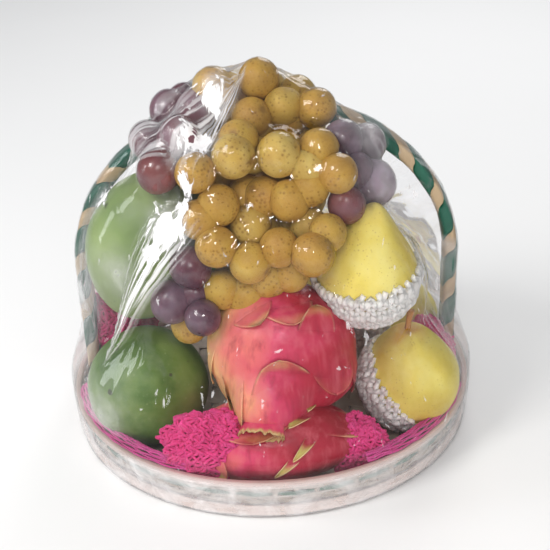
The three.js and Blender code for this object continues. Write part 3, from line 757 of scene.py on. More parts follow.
grapeBunches = {
    # each grape: middle, diameter, how red instead of dark purple, how much bloom
    "grapesLeftTop": ("grapes_left_top", [
        (-60, -44, 188, 26, 0.9, 0.08), (-65, -24, 199, 24.5, 0.5, 0.2), (-48, -33, 204, 25, 0.75, 0.35),
        (-54, -6, 211, 24, 0.5, 0.35), (-38, -14, 213, 24, 0.75, 0.45), (-46, 14, 208, 24, 0.5, 0.3)]),
    "grapesLeftLow": ("grapes_left_low", [
        (-44, -67, 137, 24.5, 0.4, 0.2), (-56, -66, 114, 26, 0.4, 0.45), (-38, -79.5, 110, 22, 0.3, 0.35),
        (-42, -66, 118, 20, 0.4, 0.2)]),
    "grapesRight": ("grapes_right", [
        (62, -20, 190, 24, 0.1, 0.2), (65, -36, 172, 27, 0.35, 1.0), (48, -56, 168, 22.5, 0.9, 0.3),
        (48, -30, 197, 24, 0.2, 0.6), (54, -40, 182, 22, 0.2, 0.5)]),
}
grapeShape = {
    "longer": 1.07, "slimmer": 0.985, "seed": 5, "detail": 4, "tilt": 40, "blotches": [(0.25, 1)],
    "bumps": [(0.02, 1.5)], "scar": [(0.05, 0.97, 1.0)], "tail": [(0.03, 0.975, 1.0)],
}


def buildGrapes():
    dice = random.Random(grapeShape["seed"])
    tilt = grapeShape["tilt"]
    for name, (node, places) in grapeBunches.items():
        bm = bmesh.new()
        tone, bloomed = layers(bm, "tone", "bloom")
        for x, y, z, diameter, redness, bloom in places:
            offset = Vector((dice.uniform(0, noiseReach), 0, 0))
            semi = (diameter / 2 * grapeShape["slimmer"],) * 2 + (diameter / 2 * grapeShape["longer"],)

            def form(point, vert):
                vert[tone] = clamp(redness + bumpy(point, grapeShape["blotches"], offset))
                vert[bloomed] = bloom
                scar = rises(point.z, grapeShape["scar"]) + rises(-point.z, grapeShape["tail"])
                return point * (1 + bumpy(point, grapeShape["bumps"], offset) - scar)

            lean = (dice.uniform(-tilt, tilt), dice.uniform(-tilt, tilt), dice.uniform(0, 360))
            roundFruit(bm, (x, y, z), semi, lean, grapeShape["detail"], form)
        addPiece(name, bm, "grape", "grape", node)


buildGrapes()

mangoBlemishes = [  # dark scabs on the lower mango: place on the unit ball, width in degrees
    ((-0.44, -0.29, 0.85), 6), ((0.39, 0.69, 0.61), 4), ((0.27, 0.41, 0.87), 3.5), ((-0.67, 0.35, 0.66), 4)]
mangoes = {
    # node: name, centre, half sizes, turn, how pale, which end has the stalk scar
    "mango_lower": ("mangoLower", (-77, -47, 44.5), (38, 37, 39), (62, 0, -30), 0.0, -1),
    "mango_upper": ("mangoUpper", (-72, -25, 131), (39, 35, 50), (0, 22, 20), 0.6, -1),
    "mango_back": ("mangoBack", (-44, 62, 62), (37, 35, 49), (0, 76, 12), 0.2, 1),
}
mangoShape = {
    "detail": 6, "wide": (0.08, -0.05), "beak": 0.12, "bumps": [(0.022, 1.3), (0.003, 9)],
    "dimple": [(0.075, 0.965, 1.0)], "stalkEnd": (0.988, 0.996), "blotches": [(0.5, 1.1)], "noiseScale": 0.13,
}


def buildMangoes():
    for node, (name, centre, semi, turn, paleness, end) in mangoes.items():
        bm = bmesh.new()
        pale, stalkEnd, blemish = layers(bm, "pale", "stalkEnd", "blemish")
        offset = Vector(centre) * mangoShape["noiseScale"]
        scabs = mangoBlemishes if node == "mango_lower" else []

        def form(point, vert):
            slope, bend = mangoShape["wide"]
            wide = 1 + slope * point.z + bend * point.z ** 2
            beak = mangoShape["beak"] * point.z ** 2 if point.z < 0 else 0
            vert[pale] = clamp(paleness + bumpy(point, mangoShape["blotches"], offset))
            vert[stalkEnd] = smooth(end * point.z, *mangoShape["stalkEnd"])
            vert[blemish] = sum(smooth(-point.angle(Vector(at)), -radians(size), 0) for at, size in scabs)
            swell = 1 + bumpy(point, mangoShape["bumps"], offset) - rises(end * point.z, mangoShape["dimple"])
            return Vector((point.x * wide + beak, point.y * wide, point.z)) * swell

        roundFruit(bm, centre, semi, turn, mangoShape["detail"], form)
        addPiece(name, bm, "mango", "mango", node)


buildMangoes()

pears = {
    # centre, half sizes, neck, rise, stem length, blush round the stem, tilt to the right in degrees
    "upper": ((59.5, -54, 121), (30, 30, 29.5), 0.5, 1.57, 0, 0.1, 6),
    "lower": ((87, -50.5, 45.5), (31, 31, 33), 0.25, 1.12, 10, 1.0, -3),
    "side": ((83, 18.5, 49), (30, 30, 31), 0.45, 1.28, 9, 0.5, 0),
    "back": ((40, 69, 44), (30.5, 30.5, 31), 0.4, 1.22, 10, 0.5, 0),
}
pearShape = {
    "detail": 6, "neckFrom": 0.1, "neckShare": 0.9, "bumps": [(0.018, 1.4), (0.002, 12)],
    "dimple": [(0.06, 0.94, 1.0)], "relief": 30, "blush": (0.83, 1.02), "blushEdge": [(0.12, 2.2)],
    "noiseScale": 0.17,
}
pearStem = {
    "radius": 1.7, "flare": 2.2, "waist": 0.9, "uneven": 0.12, "lean": 2.2, "sunk": 4, "sides": 12, "steps": 10}


def pearPoint(pear, point, grow=0.0):  # a point of the unit ball, put on the pear's skin
    centre, semi, neck, rise = pears[pear][:4]
    narrow = 1 - neck * smooth(point.z, pearShape["neckFrom"], 1) * pearShape["neckShare"]
    tall = rise if point.z > 0 else 1
    sizes = [(half + grow) * mm for half in semi]
    place = Vector((point.x * narrow * sizes[0], point.y * narrow * sizes[1], point.z * tall * sizes[2]))
    return tilted(pear) @ place + Vector(centre) * mm


def tilted(pear):
    return Quaternion((0, 1, 0), radians(pears[pear][6]))


def buildPears():
    for pear, (centre, semi, _, rise, stem, blush, _) in pears.items():
        bm = bmesh.new()
        stalk, stalkEnd = layers(bm, "stalk", "stalkEnd")
        offset = Vector(centre) * pearShape["noiseScale"]
        for vert in ball(bm, pearShape["detail"]):
            point = vert.co.copy()
            dimple = rises(point.z, pearShape["dimple"]) if stem else 0
            edge = point.z + bumpy(point, pearShape["blushEdge"], offset)
            vert[stalkEnd] = blush * smooth(edge, *pearShape["blush"])
            grow = pearShape["relief"] * (bumpy(point, pearShape["bumps"], offset) - dimple)
            vert.co = pearPoint(pear, point, grow)
        if stem:
            top = tilted(pear) @ Vector((0, 0, semi[2] * rise)) + Vector(centre)

            def stemForm(angle, share, vert):
                vert[stalk] = 1
                radius = lerp(pearStem["radius"], pearStem["flare"], abs(2 * share - pearStem["waist"]) ** 2)
                radius *= 1 + pearStem["uneven"] * sin(3 * angle + 5 * share)
                height = (stem + pearStem["sunk"]) * share - pearStem["sunk"]
                lean = Vector((pearStem["lean"] * share ** 2, 0, 0))
                return (top + ringPoint(radius, angle, height) + lean) * mm

            closedTube(bm, pearStem["sides"], pearStem["steps"], stemForm)
        addPiece("pear" + pear.capitalize(), bm, "pear", "pear", "pear_" + pear)


buildPears()
print("grapes, mangoes and pears placed")

foamNets = {
    # the side that is open, and how high on that side the net ends
    "upper": ((-0.13, -0.07, 1), 4.5),
    "lower": ((0.75, -0.19, 0.61), -4),
    "side": ((0.1, 0.15, 1), 6),
    "back": ((0, 0.3, 1), 2),
}
foamStrand = {
    "count": 30, "twist": 0.85, "radius": 1.95, "step": 0.045, "start": 0.12, "stop": pi, "knot": 0.22,
    "uneven": [(0.2, 14)], "lift": 1.2, "over": 0.12, "waves": [(0.5, 5)], "raised": 0.35,
    "ragged": [(1.5, 9)],
}


def netPaths(onShape, strand, count):  # two families of strands that cross
    paths = []
    for hand in (1, -1):
        for k in range(count):
            path = []
            polar = strand["start"] * (1 + 1.5 * (k % 3))
            while polar < strand["stop"]:
                around = 2 * pi * k / count + hand * strand["twist"] * polar
                unit = ringPoint(sin(polar), around, -cos(polar))
                knot = cos(2 * count * strand["twist"] * polar / pi)
                point = onShape(unit, hand, knot)
                if point is None:
                    break
                path.append((point, 1 + strand["knot"] * knot + bumpy(unit, strand["uneven"])))
                polar += strand["step"]
            if len(path) > 2:
                paths.append(path)
    return paths


def buildFoamNets():
    for pear, (opening, height) in foamNets.items():
        centre = Vector(pears[pear][0]) * mm
        axis = Vector(opening).normalized()
        turn = Vector((0, 0, -1)).rotation_difference(-axis)  # the strands start at the closed end

        def onPear(unit, hand, knot):
            unit = turn @ unit
            lift = foamStrand["lift"] + (foamStrand["over"] * hand + foamStrand["raised"]) * knot
            point = pearPoint(pear, unit, lift + bumpy(unit, foamStrand["waves"]))
            ragged = bumpy(unit, foamStrand["ragged"], Vector((hand, 0, 0)))
            return None if (point - centre).dot(axis) > (height + ragged) * mm else point

        mesh = strands(netPaths(onPear, foamStrand, foamStrand["count"]), foamStrand["radius"] * mm, 2)
        addPiece("foamNet" + pear.capitalize(), mesh, "whiteFoam", "white_foam", "net_" + pear)


buildFoamNets()
print("foam nets knitted")

dragonfruits = {
    "dragonfruitUpper": {
        # warm, left then right: how far the skin turns light orange on that side; the lighter left is partly
        # the skin's own colour, partly painted light from the window side
        "node": "dragonfruit_upper", "centre": (7, -66, 80), "semi": (45, 36, 41), "warm": (1.0, 0.2),
        # where the skin swells: place, how far, how wide in degrees. The first one ends in the dried flower.
        "swells": [((-13.4, -28), 17, 36), ((62, -40), 5.5, 46)],
        # each scale: where it leaves the skin and where its tip lies, as angles round from the front and up,
        # then width, lift of the tip, curl, how dry the tip is and how pale the edge
        "scales": [
            ((-66, 60), (-20, 45), 30, 3, 0, 1.0, 0.5),
            ((30, 22), (48, 54), 26, 6, 5, 0.6, 0.6),
            ((2, -22), (-2, 17), 40, 1.8, 0, 0, 0.45),
            ((-60, 10), (-36, -34), 40, 2, 0, 0, 0.5),
            ((46, 26), (42, -22), 40, 1.2, 0, 0, 0.1),
            ((88, 10), (74, -34), 42, 1.6, 0, 0, 0.1),
            ((-96, 30), (-72, -24), 42, 2, 0, 0, 0.8),
            ((-88, 6), (-50, -50), 46, 5, 0, 0, 0.8),
            ((-10, 84), (14, 44), 38, 2.5, 0, 0.2, 0.3),
        ],
        "flower": {
            "across": 13, "thick": 5, "length": 9.5, "sunk": 5, "deep": 8, "teeth": 19, "ragged": 2.4,
            "warm": 0.55, "lip": 0.6, "flare": (0.95, 1.08), "closing": 0.98, "green": (0.44, 0.56, 0.75),
            "greenInside": (0.1, 0.4), "pale": (0.52, 0.6, 0.6), "dry": (0.05, 0.3, 0.45), "sides": 108,
            "steps": 20},
    },
    "dragonfruitLower": {
        "node": "dragonfruit_lower", "centre": (0, -92, 31), "semi": (52, 27, 25.5), "warm": (0.75, 0.02),
        "swells": [],
        "scales": [
            ((-64, 74), (-14, 30), 46, 4, -3, 0.1, 0.3),
            ((150, 40), (52, 60), 8, 2.6, 0, 0, 1.5),
            ((86, 62), (15, 47), 7.5, 2.6, 0, 0, 1.5),
            ((52, 46), (12, 7), 6.5, 2.4, 0, 0, 1.4),
            ((27, 22), (0, -15), 6, 2.2, 0, 0, 1.4),
            ((58, 60), (80, 10), 34, 3, 0, 0.2, 0.4),
            ((-60, 6), (-34, -20), 26, 3, 0, 0, 0.9),
        ],
        "flower": None,
    },
}
dragonSkin = {
    "detail": 6, "low": (0.22, 0.2, 0.9), "blotches": [(0.18, 2)], "folds": [(1.5, 1.6)], "bumps": [(0.25, 8)],
    "noiseScale": 0.11, "side": (-0.95, 0.7)}
scaleShape = {
    "across": 14, "along": 26, "thick": 0.8, "margin": (0.84, 0.97), "tip": (0.72, 0.95), "dry": (0.86, 0.98),
    "early": 0.3, "root": -2.2, "rootWide": 0.8, "outline": (1.9, 0.62), "clear": 0.6, "cup": 0.9,
    "waves": [(0.4, 4)], "patches": [(1, 5)], "patchRange": (-0.25, 0.2), "patchLeast": 0.3, "widens": 0.35,
    "liftsBy": 1.05, "liftPower": 1.4, "free": (0.12, 0.75), "hollow": 0.5, "curlFrom": 0.85, "curlGain": 4,
    "marginAlong": (0.3, 0.7), "tipBow": 0.08, "tipMost": 0.9,
}


def towards(azimuth, elevation):  # direction from angles: round from the front towards the right, and up
    a, e = radians(azimuth), radians(elevation)
    return Vector((sin(a) * cos(e), -cos(a) * cos(e), sin(e)))


def buildDragonfruits():
    for name, fruit in dragonfruits.items():
        centre, semi = Vector(fruit["centre"]) * mm, Vector(fruit["semi"]) * mm
        bm = bmesh.new()
        warm, tip, margin, dry = layers(bm, "warm", "tip", "margin", "dry")
        offset = Vector(fruit["centre"]) * dragonSkin["noiseScale"]

        def onSkin(unit, grow, vert):
            low, start, end = dragonSkin["low"]
            # lighter and more orange towards the left, where the window light falls: partly the skin's own
            # colour, partly painted light
            side = lerp(*fruit["warm"], smooth(unit.x, *dragonSkin["side"]))
            under = low * smooth(-unit.z, start, end)
            vert[warm] = side + under + bumpy(unit, dragonSkin["blotches"], offset)
            place = Vector(a * b for a, b in zip(unit, semi))
            normal = Vector(a / b for a, b in zip(unit, semi)).normalized()
            for at, reach, wide in fruit["swells"]:
                place += towards(*at) * reach * mm * smooth(unit.dot(towards(*at)), cos(radians(wide)), 1)
            return centre + place + normal * grow * mm

        for vert in ball(bm, dragonSkin["detail"]):
            unit = vert.co.copy()
            vert.co = onSkin(unit, bumpy(unit, dragonSkin["folds"] + dragonSkin["bumps"], offset), vert)
        for rootAt, tipAt, width, lift, curl, dryness, edged in fruit["scales"]:
            root, end = towards(*rootAt), towards(*tipAt)
            reach = root.angle(end)
            spin = root.cross(end).normalized()
            half = width * mm / 2 / (sum(semi) / 3)

            def scaleForm(u, v, vert):
                side = 2 * u - 1
                edge = abs(side)
                spine = Quaternion(spin, reach * v) @ root
                taper, blunt = scaleShape["outline"]
                spread = half * (1 - v ** taper) ** blunt
                spread *= lerp(scaleShape["rootWide"], 1, smooth(v, 0, scaleShape["widens"]))
                unit = (spine + spin * side * spread).normalized()
                sunk = scaleShape["root"]
                risen = smooth(v, 0.0, scaleShape["liftsBy"]) ** scaleShape["liftPower"]
                raised = sunk + (lift - sunk + scaleShape["clear"]) * risen
                cupped = scaleShape["cup"] * edge ** 3 - scaleShape["hollow"]
                raised += smooth(v, *scaleShape["free"]) * cupped
                raised += bumpy(unit, dragonSkin["folds"] + scaleShape["waves"], offset)
                raised -= curl * max(0, v - scaleShape["curlFrom"]) * scaleShape["curlGain"]
                place = onSkin(unit, raised, vert)
                patches = smooth(bumpy(unit, scaleShape["patches"], offset), *scaleShape["patchRange"])
                patchy = min(1, edged * lerp(scaleShape["patchLeast"], 1, patches))
                early = scaleShape["early"] * max(0, edged - 1)
                along = smooth(v, *scaleShape["marginAlong"])
                vert[margin] = smooth(edge, *scaleShape["margin"]) * along * patchy
                green = smooth(v + scaleShape["tipBow"] * edge + early, *scaleShape["tip"])
                vert[tip] = green * scaleShape["tipMost"] * patchy
                vert[dry] = dryness * smooth(v, *scaleShape["dry"])
                return place

            made = grid(bm, scaleShape["across"], scaleShape["along"], scaleForm)
            thickness = -scaleShape["thick"] * mm
            leaf = bmesh.ops.solidify(bm, geom=facesOf(made) + made, thickness=thickness)["geom"]
            leafVerts = {item for item in leaf if isinstance(item, bmesh.types.BMVert)} | set(made)
            bmesh.ops.recalc_face_normals(bm, faces=facesOf(list(leafVerts)))
        shape = fruit["flower"]
        if shape:
            at, reach, _ = fruit["swells"][0]
            ahead = towards(*at)
            right = ahead.cross(Vector((0, 0, 1))).normalized()
            above = right.cross(ahead)
            start = centre + Vector(a * b for a, b in zip(ahead, semi)) + ahead * (reach - shape["sunk"]) * mm

            def flowerForm(angle, share, vert):
                outside = min(1, share / shape["lip"])
                inside = max(0, (share - shape["lip"]) / (1 - shape["lip"]))
                ragged = 0.5 + 0.5 * sin(shape["teeth"] * angle + 2.5 * sin(2 * angle)) * cos(3 * angle + 1)
                along = shape["length"] * outside ** 1.2
                along += shape["ragged"] * ragged * outside ** 3 * (1 - inside)
                along -= shape["deep"] * inside ** 0.7
                flare = lerp(*shape["flare"], outside ** 3) * (1 - shape["closing"] * inside ** 1.5)
                side = right * cos(angle) * shape["across"] + above * sin(angle) * shape["thick"]
                vert[warm] = shape["warm"]
                low, high, most = shape["green"]
                vert[tip] = most * smooth(share, low, high) * (1 - smooth(inside, *shape["greenInside"]))
                low, high, most = shape["pale"]
                vert[margin] = most * smooth(share, low, high) * (1 - inside) * ragged
                low, high, most = shape["dry"]
                vert[dry] = most * smooth(inside, low, high)
                return start + (ahead * along + side * flare) * mm

            closedTube(bm, shape["sides"], shape["steps"], flowerForm)
        addPiece(name, bm, "dragonfruit", "dragonfruit", fruit["node"])


buildDragonfruits()
print("dragon fruits placed")

crumples = {
    # node: name, centre, half sizes, how folded
    "pink_net_left": ("pinkNetLeft", (-39, -104, 37), (27, 12, 23), 0.24),
    "pink_net_right": ("pinkNetRight", (50, -96, 25), (18.5, 11.5, 21), 0.22),
    "pink_net_left_back": ("pinkNetLeftBack", (-96, 12, 56), (21, 24, 34), 0.16),
    "pink_net_right_back": ("pinkNetRightBack", (101, -10, 36), (20, 18, 26), 0.16),
}
crumpleStrand = {
    "radius": 1.05, "spacing": 2.9, "twist": 1.0, "step": 0.055, "start": 0.15, "stop": pi - 0.12,
    "knot": 0.2, "uneven": [(0.3, 11)], "under": 1.7, "rucks": [(2.6, 8)], "over": 0.3, "aside": 0.14,
    "coreDetail": 5, "coreBumps": [(0.7, 8)], "noiseScale": 0.21,
}


def buildCrumples():
    for node, (name, centre, semi, folds) in crumples.items():
        offset = Vector(centre) * crumpleStrand["noiseScale"]

        def lump(unit, grow):
            fold = noise.noise(unit * 1.9 + offset) + 1.1 * abs(noise.noise(unit * 3.7 + offset)) - 0.35
            return Vector(c + u * (h * (1 + folds * fold) + grow) for c, u, h in zip(centre, unit, semi)) * mm

        def onLump(unit, hand, knot):
            ruck = bumpy(unit, crumpleStrand["rucks"], offset * hand) + crumpleStrand["over"] * hand * knot
            aside = Vector((noise.noise(unit * 6 + offset), noise.noise(unit * 6 - offset), 0))
            unit = (unit + aside * crumpleStrand["aside"]).normalized()
            return lump(unit, ruck - crumpleStrand["radius"])

        count = round(pi * (semi[0] + semi[1]) / crumpleStrand["spacing"])
        mesh = strands(netPaths(onLump, crumpleStrand, count), crumpleStrand["radius"] * mm)
        bm = bmesh.new()
        bm.from_mesh(mesh)
        # a darker core ball under the strands: painted shade seen through the holes
        deep = layers(bm, "deep")[0]
        for vert in ball(bm, crumpleStrand["coreDetail"]):
            unit = vert.co.normalized()
            vert[deep] = 1
            vert.co = lump(unit, bumpy(unit, crumpleStrand["coreBumps"], -offset) - crumpleStrand["under"])
        addPiece(name, bm, "pinkFoam", "pink_foam", node)


buildCrumples()

rimBands = {
    # node: name, first and last angle round the tray, in degrees from the right
    "pink_band_left": ("pinkBandLeft", 190, 246),
    "pink_band_right": ("pinkBandRight", 296, 345),
}
bandStrand = {
    "count": 10, "inner": 118.6, "outer": 127.6, "low": 27.7, "high": 31.6, "radius": 0.66, "cell": 21,
    "steps": 90, "drawnIn": 0.55, "sway": 0.42, "wander": 0.5, "hump": (0.75, 0.25), "uneven": 0.15,
}


def buildRimBands():  # a net stretched long, so its strands run side by side and meet now and then
    shape = bandStrand
    for node, (name, first, last) in rimBands.items():
        paths = []
        for k in range(shape["count"]):
            row = k / (shape["count"] - 1)
            path = []
            for i in range(shape["steps"] + 1):
                share = i / shape["steps"]
                angle = radians(lerp(first, last, share))
                along = angle * shape["outer"] / shape["cell"] * 2 * pi
                wander = shape["wander"] * noise.noise(Vector((angle * 9, k, 0)))
                sway = shape["sway"] * cos(along + pi * (k % 2)) + wander
                spread = lerp(shape["drawnIn"], 1, max(0, sin(pi * share)) ** 0.4)
                across = clamp(0.5 + (row - 0.5) * spread + sway / shape["count"])
                arch, uneven = shape["hump"]
                hump = clamp(sin(pi * row) * arch + uneven * noise.noise(Vector((angle * 14, k * 3, 5))))
                point = ringPoint(lerp(shape["inner"], shape["outer"], across), angle,
                                  lerp(shape["low"], shape["high"], hump))
                path.append((point * mm, 1 + shape["uneven"] * sin(along)))
            paths.append(path)
        addPiece(name, strands(paths, shape["radius"] * mm), "magentaFoam", "pink_foam", node)


buildRimBands()
print("pink nets crumpled")

trayShape = {
    "floor": 4.5, "low": 5.0, "high": 21.4, "baseRadius": 124.0, "topRadius": 127.0, "rows": 5, "periods": 32,
    "wave": 0.75, "sag": 0.25, "stripThick": 0.75, "stripShare": 0.97, "stakeWide": 3.2, "stakeThick": 1.0,
    "stakeLow": 0.5, "stakeHigh": 0.3, "steps": 320, "colours": {0: "strawPink", 3: "strawGreen"},
    "floorStrips": 24, "floorWave": 0.5,
    "floorReach": 122.5, "floorDrop": 1.4, "floorShare": 0.94, "floorSteps": 60,
    "grainShifts": (0.37, 0.11, 0.29),  # so that no two strips of the wall, stakes or planks look the same
}
hoops = {
    # node: name, inner and outer radius, lowest and highest
    "rim_hoop": ("rimHoop", 126.3, 129.9, 21.9, 26.9),
    "foot_hoop": ("footHoop", 126.6, 128.2, 1.6, 8.9),
}
hoopShape = {"steps": 180, "sides": 20, "square": 0.45, "thick": 0.97, "inset": 0.15, "uneven": [(0.25, 3)]}
stripSection = [  # a flat strip's rounded section: across and out, as shares of its width and thickness
    (-0.5, 0), (-0.44, 0.4), (-0.3, 0.5), (0, 0.55), (0.3, 0.5), (0.44, 0.4), (0.5, 0), (0.44, -0.4),
    (0, -0.5), (-0.44, -0.4)]


def bandedStrip(bm, steps, middle, side, normal, wide, thick, start, closed=False):
    # a flat strip: middle(share), side(share) and normal(share) set each section
    along, across = layers(bm, "along", "across")
    length = [0.0]
    for i in range(steps):
        length.append(length[-1] + (middle((i + 1) / steps) - middle(i / steps)).length)

    def place(u, v, vert):
        a, b = stripSection[round(u * len(stripSection)) % len(stripSection)]
        i = round(v * steps)
        share = 0 if closed and i == steps else i / steps
        vert[along] = start + length[i] * mm
        vert[across] = a * wide * mm
        return (middle(share) + side(share) * a * wide + normal(share) * b * thick) * mm

    made = sealed(bm, grid(bm, len(stripSection), steps, place))
    if not closed:
        capEnds(bm, made)


def wallRadius(height):
    share = (height - trayShape["low"]) / (trayShape["high"] - trayShape["low"])
    return lerp(trayShape["baseRadius"], trayShape["topRadius"], share)


def buildTray():
    shape = trayShape
    wallShift, stakeShift, plankShift = shape["grainShifts"]
    coloured = {key: bmesh.new() for key in ("strawGreen", "strawPink", "straw")}
    pitch = (shape["high"] - shape["low"]) / shape["rows"]
    up = Vector((0, 0, 1))
    for row in range(shape["rows"]):
        height = shape["low"] + pitch * (row + 0.5)

        def middle(share):
            angle = 2 * pi * share
            wave = shape["wave"] * cos(shape["periods"] * angle + pi * row)
            sag = shape["sag"] * sin(5 * angle + 2 * row)
            return ringPoint(wallRadius(height) + wave, angle, height + sag)

        bandedStrip(coloured[shape["colours"].get(row, "straw")], shape["steps"], middle,
                    lambda share: up, lambda share: ringPoint(1, 2 * pi * share),
                    pitch * shape["stripShare"], shape["stripThick"], row * wallShift, closed=True)
    stakes = 2 * shape["periods"]
    for k in range(stakes):
        angle = 2 * pi * k / stakes
        out, side = ringPoint(1, angle), Vector((-sin(angle), cos(angle), 0))
        low, high = shape["floor"] - shape["stakeLow"], shape["high"] + shape["stakeHigh"]

        def stake(share):
            height = lerp(low, high, share)
            return out * wallRadius(height) + up * height

        bandedStrip(coloured["straw"], 4, stake, lambda share: side, lambda share: out,
                    shape["stakeWide"], shape["stakeThick"], k * stakeShift)
    reach = shape["floorReach"]
    gap = 2 * reach / shape["floorStrips"]
    for turned in (False, True):
        for k in range(shape["floorStrips"]):
            offset = -reach + gap * (k + 0.5)
            half = sqrt(reach ** 2 - offset ** 2)

            def plank(share):
                along = lerp(-half, half, share)
                wave = cos(pi * along / gap + pi * k + (pi if turned else 0)) * shape["floorWave"]
                across, length = (along, offset) if turned else (offset, along)
                return Vector((across, length, shape["floor"] - shape["floorDrop"] + wave))

            side = Vector((0, 1, 0)) if turned else Vector((1, 0, 0))
            bandedStrip(coloured["straw"], shape["floorSteps"], plank, lambda share: side, lambda share: up,
                        gap * shape["floorShare"], shape["stripThick"], k * plankShift)
    for key, bm in coloured.items():
        addPiece("tray" + key.capitalize(), bm, key, "straw", "tray")


def buildHoops():
    for node, (name, inner, outer, low, high) in hoops.items():
        bm = bmesh.new()
        along, across = layers(bm, "along", "across")
        midR, midZ = (inner + outer) / 2, (low + high) / 2
        halfR, halfZ = (outer - inner) / 2, (high - low) / 2

        def place(u, v, vert):
            turn, angle = 2 * pi * u, 2 * pi * v
            squareX, squareZ = signed(cos(turn), hoopShape["square"]), signed(sin(turn), hoopShape["square"])
            uneven = bumpy(ringPoint(1, angle, midZ), hoopShape["uneven"])
            radius = midR + halfR * squareX * hoopShape["thick"] + 0.2 * uneven
            vert[along] = angle * midR * mm
            vert[across] = (halfZ * squareZ + halfR * squareX) * mm
            height = midZ + (halfZ - hoopShape["inset"]) * squareZ + 0.3 * uneven
            return ringPoint(radius, angle, height) * mm

        sealed(bm, grid(bm, hoopShape["sides"], hoopShape["steps"], place))
        addPiece(name, bm, "hoop", "hoop", node)


buildTray()
buildHoops()
print("tray woven, hoops bent")

handleShape = {
    "halfSpan": 116.9, "spring": 108, "rise": 102.4, "foot": 5, "halfWidth": 8, "halfThick": 3.6,
    "bends": 160, "square": (0.4, 0.6), "coreInset": -0.25, "coreSides": 24, "coreSteps": 220,
}
ribbonShape = {
    "pitch": 33, "greenStart": 26, "endBefore": 12, "greenWide": 19.5, "beigeWide": 16.4, "thick": 0.55,
    "beigeLift": 0.35, "greenLift": 0.6, "perTurn": 28, "across": 8, "uneven": (0.35, 2.3), "crown": 0.3,
    "turnAlong": 0.045,
}


def archTable():  # the handle's middle line: its length so far, the point and which way is out
    span, spring, rise = (handleShape[key] for key in ("halfSpan", "spring", "rise"))
    left, foot = Vector((-1, 0, 0)), handleShape["foot"]
    line = [(Vector((-span, 0, foot)), left), (Vector((-span, 0, spring)), left)]
    for k in range(1, handleShape["bends"] + 1):
        angle = pi - pi * k / handleShape["bends"]
        out = Vector((cos(angle) / span, 0, sin(angle) / rise)).normalized()
        line.append((Vector((span * cos(angle), 0, spring + rise * sin(angle))), out))
    line.append((Vector((span, 0, foot)), -left))
    table = [(0.0, *line[0])]
    for point, out in line[1:]:
        table.append((table[-1][0] + (point - table[-1][1]).length, point, out))
    return table


def onArch(table, along):
    for (a, p, n), (b, q, m) in zip(table, table[1:]):
        if along <= b:
            share = max(0, (along - a) / (b - a))
            return p.lerp(q, share), n.lerp(m, share).normalized()
    return table[-1][1], table[-1][2]


def onHandle(table, along, around, grow):  # around goes from the back over the outer face to the front
    middle, out = onArch(table, along)
    wideSquare, thickSquare = handleShape["square"]
    wide = (handleShape["halfWidth"] + grow) * signed(cos(around), wideSquare)
    thick = (handleShape["halfThick"] + grow) * signed(sin(around), thickSquare)
    return middle + Vector((0, wide, 0)) + out * thick


def ribbon(bm, table, first, last, kind, seed):
    alongLayer, acrossLayer = layers(bm, "along", "across")
    wide, lift = ribbonShape[kind + "Wide"], ribbonShape[kind + "Lift"]
    turns = (last - first) / ribbonShape["pitch"]

    def place(u, v, vert):
        wound = turns * v
        height, fineness = ribbonShape["uneven"]
        uneven = height * noise.noise(Vector((wound * fineness, seed, 0)))
        along = first + ribbonShape["pitch"] * wound + (u - 0.5) * wide * (1 + 0.3 * uneven)
        crown = ribbonShape["crown"] * sin(pi * u) ** 0.5
        vert[alongLayer] = wound * ribbonShape["turnAlong"]
        vert[acrossLayer] = (u - 0.5) * wide * mm
        return onHandle(table, along, 2 * pi * wound + pi, lift + crown + uneven * 0.4) * mm

    made = grid(bm, ribbonShape["across"], ceil(turns * ribbonShape["perTurn"]), place)
    bmesh.ops.solidify(bm, geom=facesOf(made) + made, thickness=ribbonShape["thick"] * mm)
    bmesh.ops.recalc_face_normals(bm, faces=bm.faces)


def buildHandle():
    table = archTable()
    total = table[-1][0]
    bm = bmesh.new()
    along, across = layers(bm, "along", "across")

    def core(angle, share, vert):
        vert[along] = share * total * mm
        vert[across] = (angle - pi) * handleShape["halfWidth"] * mm * 0.5
        return onHandle(table, share * total, angle, handleShape["coreInset"]) * mm

    closedTube(bm, handleShape["coreSides"], handleShape["coreSteps"], core)
    first, last = ribbonShape["greenStart"], total - ribbonShape["endBefore"]
    half = ribbonShape["pitch"] / 2
    ribbon(bm, table, first - half, last - half * 0.4, "beige", 3)
    addPiece("caneHandle", bm, "cane", "cane", "handle")
    bm = bmesh.new()
    ribbon(bm, table, first, last, "green", 8)
    addPiece("greenRibbon", bm, "greenStrip", "green_strip", "handle_wrap")


buildHandle()
print("handle wound")

filmShape = {
    "columns": 416, "rows": 152, "centre": 95, "lastAngle": 113, "gap": 0.6, "start": 150, "scale": 130,
    # rays start this far out in metres; folds are full where the film hangs this free, and fade in over rows
    "rayReach": 0.22, "freeOver": 8, "fadeRows": 10, "sink": 0.2, "seal": 0.004,
    "rounds": [(8, 600), (4, 500), (2, 500), (1, 300)], "loose": 150,
    "cling": [(-20, 0.1), (8, 0.15), (42, 0.5)], "clingRounds": 50,  # from which height angle, how closely
    # what the skirt passes on its way down and under: radius, height
    "skirt": [(131.5, 29), (131.2, 21), (129.7, 9.5), (129.0, 1.8), (127.4, 0.35), (98, 0.35)],
    "skirtRows": [3, 8, 12, 8, 3, 9],
    "pleats": ((23, 0.5), (41, 0.4), (67, 0.3)),  # how many round the tray, how strong
    "pleatTwist": (1.7, 3, 0.12), "pleatOut": (0.9, 0.25), "pleatUp": 0.28, "pleatFrom": 0.4, "pleatOver": 22,
    # skirt haze: an even milky share, more along the pleats, and a painted glare strongest on the side facing
    # the window light
    "skirtHazeAndGlare": (0.42, 0.05, 0.14, 0.9),
    # the least that folds and crinkles show where the film lies on something
    "foldLeast": 0.35, "crinkleLeast": 0.25,
    "broad": (0.9, 5.5), "crinkle": (1.3, 0.35), "crinkleFine": (22, 22, 9),
    "seed": 4,
}
